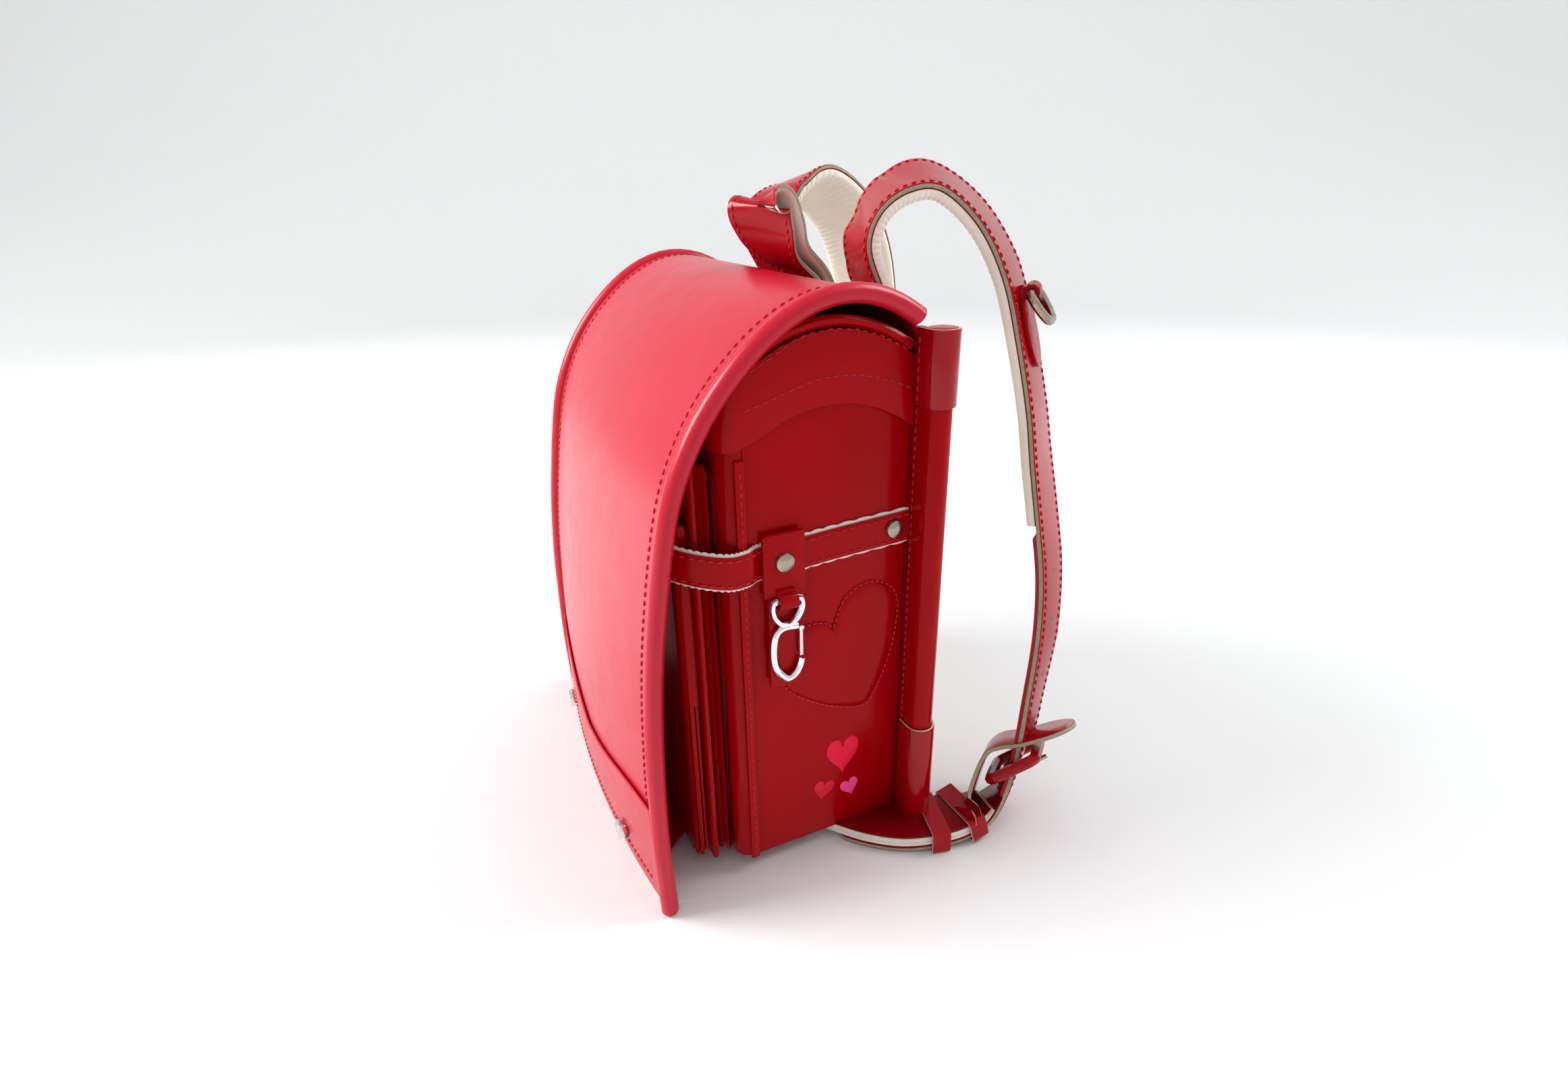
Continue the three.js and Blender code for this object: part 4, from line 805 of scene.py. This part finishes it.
def raw_handle_frame(share):
    """The handle's middle point and width direction as the table gives them."""
    place = share * (len(HANDLE_LINE) - 1)
    low = min(int(place), len(HANDLE_LINE) - 2)
    here, ahead = HANDLE_LINE[low][2], HANDLE_LINE[low + 1][2]
    turn = math.radians(here + (ahead - here) * (place - low))
    wide = Vector((math.cos(turn), math.sin(turn), math.sin(turn) * HANDLE["tip"]))
    return smooth_point(HANDLE_POINTS, share), wide


HANDLE_STEPS, HANDLE_EASINGS = 120, 14
handle_frames = [raw_handle_frame(i / HANDLE_STEPS) for i in range(HANDLE_STEPS + 1)]
for _ in range(HANDLE_EASINGS):
    threes = zip(handle_frames, handle_frames[1:], handle_frames[2:])
    eased = [tuple((a + 2 * b + c) / 4 for a, b, c in zip(*three)) for three in threes]
    handle_frames = [handle_frames[0]] + eased + [handle_frames[-1]]


def handle_frame(step):
    """The handle's middle point, width direction, outward face and width at a step of its line."""
    middle, wide = handle_frames[step]
    run = (handle_frames[min(step + 1, HANDLE_STEPS)][0] - handle_frames[max(step - 1, 0)][0]).normalized()
    wide = squared(wide, run)
    spread = min(1.0, max(0.0, (middle.z - HANDLE["z"] - 20) / 26))
    width = HANDLE["foot"] + (HANDLE["width"] - HANDLE["foot"]) * spread * spread * (3 - 2 * spread)
    return middle, wide, wide.cross(run), width


def handle_section(step):
    middle, wide, out, width = handle_frame(step)
    half, thick = width / 2, HANDLE["thick"] / 2
    shape = [(-half, -0.5), (-half, thick - 0.5), (-half + 0.5, thick), (-half + 2.5, thick + 0.1)]
    shape += [(0, thick + 0.2), (half - 2.5, thick + 0.1), (half - 0.5, thick), (half, thick - 0.5)]
    shape += [(half, -0.5), (half - 0.4, -0.6), (half - 1.2, -thick + 0.3), (half - 3, -thick)]
    shape += [(-half + 3, -thick), (-half + 1.2, -thick + 0.3), (-half + 0.4, -0.6)]
    return [middle + wide * across + out * depth for across, depth in shape]


HANDLE_STRIPS = [1, 0, 0, 0, 0, 0, 0, 1, 1, 2, 2, 2, 2, 2, 1]
handle_sections = [handle_section(step) for step in range(HANDLE_STEPS + 1)]
handle = swept("handle_finish", handle_sections, HANDLE_STRIPS, [strap_leather, felt, lining])
made["handle"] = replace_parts(handle, "handle")

# %% [markdown]
# ## Side belts
#
# Each side belt is a red strip sewn on a white layer with pinked edges, so a row of small
# white teeth shows above and below the red.

# %% Side belts
BELT_ROUTE = [Vector(point) for point in (
    (117.6, 38.4, 188), (117.6, -7, 186), (117.6, -34.5, 184), (117.6, -46.5, 184), (121.3, -53.3, 184),
    (121.3, -63.6, 184), (114.3, -77.6, 186), (104, -88.9, 189), (88, -88.9, 190),
)]


def side_belt_point(share, up, depth):
    """A point of the side belt: up from its middle and depth outward, in mm."""
    run = run_at(BELT_ROUTE, share)
    out = Vector((-run.y, run.x, 0)).normalized()
    return smooth_point(BELT_ROUTE, share) + out * depth + Vector((0, 0, up))


BELT_STEPS, TOOTH_STEPS = 90, 280
LAYER_HALF, TOOTH_PITCH, TOOTH_HEIGHT = 9.2, 4.2, 0.75


def side_belt_track(up, depth):
    track = []
    for i in range(BELT_STEPS + 1):
        here = side_belt_point(i / BELT_STEPS, up, depth)
        track.append((here, (side_belt_point(i / BELT_STEPS, up, depth + 1) - here).normalized()))
    return track


def toothed_section(share, along):
    half = LAYER_HALF + TOOTH_HEIGHT * abs(math.sin(math.pi * along / TOOTH_PITCH)) ** 0.8
    shape = ((-half, -1.2), (-half, -0.3), (half, -0.3), (half, -1.2))
    return [side_belt_point(share, up, depth) for up, depth in shape]


def red_strip_section(share):
    shape = ((-8.2, -0.3), (-8.3, 0.7), (-7.9, 1.05), (-5.6, 1.15), (0, 1.3), (5.6, 1.15), (7.9, 1.05),
        (8.3, 0.7), (8.2, -0.3))
    return [side_belt_point(share, up, depth) for up, depth in shape]


belt_line = [smooth_point(BELT_ROUTE, i / BELT_STEPS) for i in range(BELT_STEPS + 1)]
belt_length = sum((after - before).length for before, after in zip(belt_line, belt_line[1:]))
tooth_shares = [i / TOOTH_STEPS for i in range(TOOTH_STEPS + 1)]
teeth = [toothed_section(share, share * belt_length) for share in tooth_shares]
red_strip = [red_strip_section(i / BELT_STEPS) for i in range(BELT_STEPS + 1)]
for side, flip in SIDES.items():
    under = swept(f"belt_layer_{side}", teeth, [0] * 4, [white_layer], flip=flip)
    strip = swept(f"belt_strip_{side}", red_strip, [0] * 9, [leather], flip=flip)
    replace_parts(under, f"side_belt_{side}")
    made[f"side_belt_{side}"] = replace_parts(strip, f"side_belt_{side}")

# %% [markdown]
# ## Hearts
#
# The large heart is a quilted pillow in the side panel, sewn down along its outline. Three
# small hearts are embroidered in satin stitch below it.

# %% Hearts
HEART_OUTLINE = (
    (-5, 137), (-2, 146), (2, 153), (10, 158), (19, 159), (29, 154), (34, 145), (34, 133), (32, 118),
    (27, 102), (21, 89), (14.5, 82), (-2, 86), (-17, 94), (-30, 104), (-37, 116), (-39, 126), (-36, 134),
    (-30, 139), (-22, 142), (-14, 142), (-8, 140),
)


def closed_line(outline, steps):
    """Smooth points round a closed outline of (y, z) pairs, through each of them."""
    points = [Vector((y, z)) for y, z in outline]
    count = len(points)
    line = []
    for i in range(steps):
        place = i / steps * count
        low = int(place)
        four = [points[(low + k) % count] for k in (-1, 0, 1, 2)]
        line.append(smooth_point(four, (1 + place - low) / 3))
    return line


def domed(name, outline, centre, heights, material, flip):
    """A pillow on the side panel: rings from the outline to the centre, each at a height in mm."""
    count = len(outline)
    points, faces = [], []
    for share, height in heights:
        for at in outline:
            inner = at.lerp(centre, share)
            points.append((flip * (SIDE_X + height), inner.x, inner.y))
    for ring in range(len(heights) - 1):
        for j in range(count):
            k = (j + 1) % count
            faces.append((ring * count + j, ring * count + k, (ring + 1) * count + k, (ring + 1) * count + j))
    faces.append(tuple((len(heights) - 1) * count + j for j in range(count)))
    faces.append(tuple(reversed(range(count))))
    return new_piece(name, points, faces, [material])


def heart_shape(middle, width, height, tilt):
    """The outline of a small heart in the (y, z) plane."""
    turn = math.radians(tilt)
    outline = []
    for i in range(48):
        t = 2 * math.pi * i / 48
        y = width / 2 * math.sin(t) ** 3
        z = 13 * math.cos(t) - 5 * math.cos(2 * t) - 2 * math.cos(3 * t) - math.cos(4 * t) + 2.5
        outline.append(Vector(middle) + Matrix.Rotation(turn, 2) @ Vector((y, z * height / 28.5)))
    return outline


HEART_CENTRE = Vector((0, 119))
# Rings of a pillow: share of the way from the outline to the centre, and height in mm.
PILLOW = ((0, -0.3), (0.01, 0.2), (0.05, 0.9), (0.11, 1.6), (0.2, 2.1), (0.35, 2.4), (0.6, 2.5), (0.9, 2.5))
SATIN = ((0, -0.3), (0.02, 0.25), (0.12, 0.55), (0.35, 0.75), (0.8, 0.85))
# Thread, middle (y, z), width, height and tilt in degrees.
SMALL_HEARTS = (
    ("large", (2.0, 50.0), 21, 25, 0),
    ("light", (7.0, 25.5), 12, 12.5, 12),
    ("deep", (-10.5, 29.5), 13.5, 14, -14),
)
heart_outline = closed_line(HEART_OUTLINE, 132)
for side, flip in SIDES.items():
    pillow = domed(f"heart_pad_{side}_finish", heart_outline, HEART_CENTRE, PILLOW, leather, flip)
    made[f"heart_pad_{side}"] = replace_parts(pillow, f"heart_pad_{side}")
    for shade, middle, width, height, tilt in SMALL_HEARTS:
        outline = heart_shape(middle, width, height, tilt)
        domed(f"{shade}_heart_{side}", outline, Vector(middle), SATIN, HEART_THREADS[shade], flip)

# %% [markdown]
# ## Stitches
#
# The seams are sewn with thick red thread. A stitch is a short bead that dips into the
# leather at both ends. A row of them follows a track of points and outward normals, which is
# either worked out from a sweep or found as the nearest points of a finished surface.

# %% Sewing
# Rings of one stitch: place along it, height in mm and share of the full radius.
STITCH_RINGS = ((-0.5, -0.3, 0.5), (-0.36, 0.12, 0.9), (0, 0.26, 1.0), (0.36, 0.12, 0.9), (0.5, -0.3, 0.5))


def sew(name, track, pitch=4.6, length=3.2, radius=0.5, material=thread, flip=1):
    """One row of stitches. track holds (point, outward normal) pairs in mm."""
    lengths = [0.0]
    for (one, _), (two, _) in zip(track, track[1:]):
        lengths.append(lengths[-1] + (two - one).length)

    def along(distance):
        distance = min(max(distance, 0.0), lengths[-1])
        k = min(bisect_right(lengths, distance) - 1, len(track) - 2)
        share = (distance - lengths[k]) / max(lengths[k + 1] - lengths[k], 1e-6)
        (spot, out), (next_spot, next_out) = track[k], track[k + 1]
        return spot.lerp(next_spot, share), out.lerp(next_out, share).normalized()

    points, faces = [], []
    sides = 6
    rings = len(STITCH_RINGS)
    for i in range(int((lengths[-1] - length) / pitch) + 1):
        middle = length / 2 + i * pitch
        here, out = along(middle)
        run = (along(middle + 0.5)[0] - along(middle - 0.5)[0]).normalized()
        across = run.cross(out).normalized()
        start = len(points)
        for place, rise, size in STITCH_RINGS:
            at = along(middle + place * length)[0] + out * rise
            for k in range(sides):
                angle = 2 * math.pi * k / sides
                spot = at + (across * math.cos(angle) + out * math.sin(angle)) * radius * size
                points.append((spot.x * flip, spot.y, spot.z))
        for ring in range(rings - 1):
            for k in range(sides):
                a, b = start + ring * sides + k, start + ring * sides + (k + 1) % sides
                faces.append((a, b, b + sides, a + sides))
        faces.append(tuple(start + k for k in range(sides)))
        faces.append(tuple(start + (rings - 1) * sides + k for k in range(sides)))
    return new_piece(name, points, faces, [material], smooth_angle=60)


def surface_of(piece):
    """The piece's surface, ready for nearest-point questions."""
    mesh = piece.data
    return BVHTree.FromPolygons([v.co for v in mesh.vertices], [tuple(p.vertices) for p in mesh.polygons])


def on_surface(piece, line, steps=160):
    """A track on a piece's surface nearest to the smooth line through points in mm."""
    surface = surface_of(piece)
    track = []
    for i in range(steps + 1):
        near, normal, _, _ = surface.find_nearest(smooth_point(line, i / steps) * MM)
        track.append((near / MM, normal))
    return track


def strap_track(start, end, across, depth):
    """A track along the strap, across from its near edge, or from its far edge when negative."""
    track = []
    for row in rows(start, end, 10):
        _, _, _, out, width = strap_frame(row)
        track.append((strap_point(row, across if across > 0 else width + across, depth), out))
    return track


# %% Stitch rows
def beside(x, pairs):
    return [Vector((x, y, z)) for y, z in pairs]


FLAP_EDGE = ((38, 301), (21, 309), (5, 314), (-18, 313), (-41, 300), (-60, 285), (-77, 266), (-93, 233),
    (-103, 192), (-109, 154), (-113, 111), (-114, 47), (-113, 6))
BAND_UPPER = ((36, 284), (20, 291), (5, 294), (-10, 293), (-24, 289), (-43, 279), (-52, 275))
BAND_LOWER = ((36, 260), (27, 264), (14, 268), (2, 270), (-13, 270), (-26, 267), (-39, 263), (-53, 259))
FLANGE = ((38.5, 67), (38.5, 160), (38.5, 250))
FLANGE_TOP = ((36, 254), (36, 270), (36, 287))
FRONT_SEAM = ((-54.5, 3), (-54.5, 120), (-54.5, 236))
HEM = ((110, -113, 4), (66, -119, 2), (0, -121, 1), (-66, -119, 2), (-110, -113, 4))
STRAP_INSET, HANDLE_INSET = 3.4, 3.6
tracks = {
    "flap_edge": on_surface(made["flap"], beside(110.5, FLAP_EDGE), 240),
    "band_upper": on_surface(made["mouth_band"], beside(118.6, BAND_UPPER)),
    "band_lower": on_surface(made["mouth_band"], beside(118.6, BAND_LOWER)),
    "flange": on_surface(made["edge_roll_right"], beside(119.4, FLANGE)),
    "flange_top": on_surface(made["top_sleeve_right"], beside(122, FLANGE_TOP)),
    "front_seam": on_surface(made["front_seam_right"], beside(119.5, FRONT_SEAM)),
    "belt_high": side_belt_track(6.4, 1.2),
    "belt_low": side_belt_track(-6.4, 1.2),
    "strap_near": strap_track(0.3, TAIL_END - 0.5, STRAP_INSET, STRAP["leather"]),
    "strap_far": strap_track(0.3, TAIL_END - 0.5, -STRAP_INSET, STRAP["leather"]),
}
heart_track = [(Vector((SIDE_X + 0.75, at.x, at.y)), Vector((1, 0, 0))) for at in heart_outline]
heart_track.append(heart_track[0])
for side, flip in SIDES.items():
    for name, track in tracks.items():
        sew(f"stitches_{name}_{side}", track, flip=flip)
    sew(f"stitches_heart_{side}", heart_track, 3.4, 2.4, 0.42, bright_thread, flip)
sew("stitches_hem", on_surface(made["flap_overlay"], [Vector(point) for point in HEM], 240))
for name, across in (("near", 1), ("far", -1)):
    track = []
    for step in range(HANDLE_STEPS + 1):
        middle, wide, out, width = handle_frame(step)
        place = wide * across * (width / 2 - HANDLE_INSET) + out * (HANDLE["thick"] / 2 + 0.1)
        track.append((middle + place, out))
    sew(f"stitches_handle_{name}", track)

# %% Punched holes
# Rings of a hole: share of its radius and height in mm.
HOLE_RINGS = ((1.35, -0.3), (1.2, 0.12), (1.0, 0.05), (0.9, -0.12), (0.02, -0.14))
HOLE_ROWS = (13.9, 14.7, 15.5, 16.3)
# The dark inside of a punched hole is painted shade on a disc.
painted_hole_shade = Finish("painted_hole_shade").done(Base_Color=colour(46, 8, 14), Roughness=0.8)


def punched_hole(name, row, flip, radius=1.7, sides=20):
    """A small dark disc in a sunken ring, where the strap is punched for the prong. The disc is painted shade
    for the hole's inside.
    """
    _, run, wide, out, width = strap_frame(row)
    middle = strap_point(row, width / 2, STRAP["leather"] + 0.42)
    points = []
    for size, rise in HOLE_RINGS:
        for k in range(sides):
            angle = 2 * math.pi * k / sides
            at = middle + (run * math.cos(angle) + wide * math.sin(angle)) * radius * size + out * rise
            points.append((at.x * flip, at.y, at.z))
    faces, indices = [], []
    for ring in range(len(HOLE_RINGS) - 1):
        for k in range(sides):
            a, b = ring * sides + k, ring * sides + (k + 1) % sides
            faces.append((a, b, b + sides, a + sides))
            indices.append(1 if ring >= 2 else 0)
    return new_piece(name, points, faces, [felt, painted_hole_shade], indices)


for side, flip in SIDES.items():
    for number, row in enumerate(HOLE_ROWS):
        punched_hole(f"strap_hole_{number}_{side}", row, flip)
print("sewn")

# %% Back pad
made["back_pad"] = dressed("back_pad", lining, 2.8)
PAD_INSET = 9
low, high = (Vector(corner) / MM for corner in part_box("back_pad"))
left_x, right_x = low.x + PAD_INSET, high.x - PAD_INSET
base_z, top_z = low.z + PAD_INSET, high.z - PAD_INSET
PAD_ROWS = {
    "left": ((left_x, base_z), (left_x, top_z)), "right": ((right_x, base_z), (right_x, top_z)),
    "base": ((left_x, base_z), (right_x, base_z)), "top": ((left_x, top_z), (right_x, top_z)),
}
for name, ends in PAD_ROWS.items():
    line = [Vector((x, high.y + 4, z)) for x, z in ends]
    sew(f"stitches_pad_{name}", on_surface(made["back_pad"], line, 60), material=pale_thread)
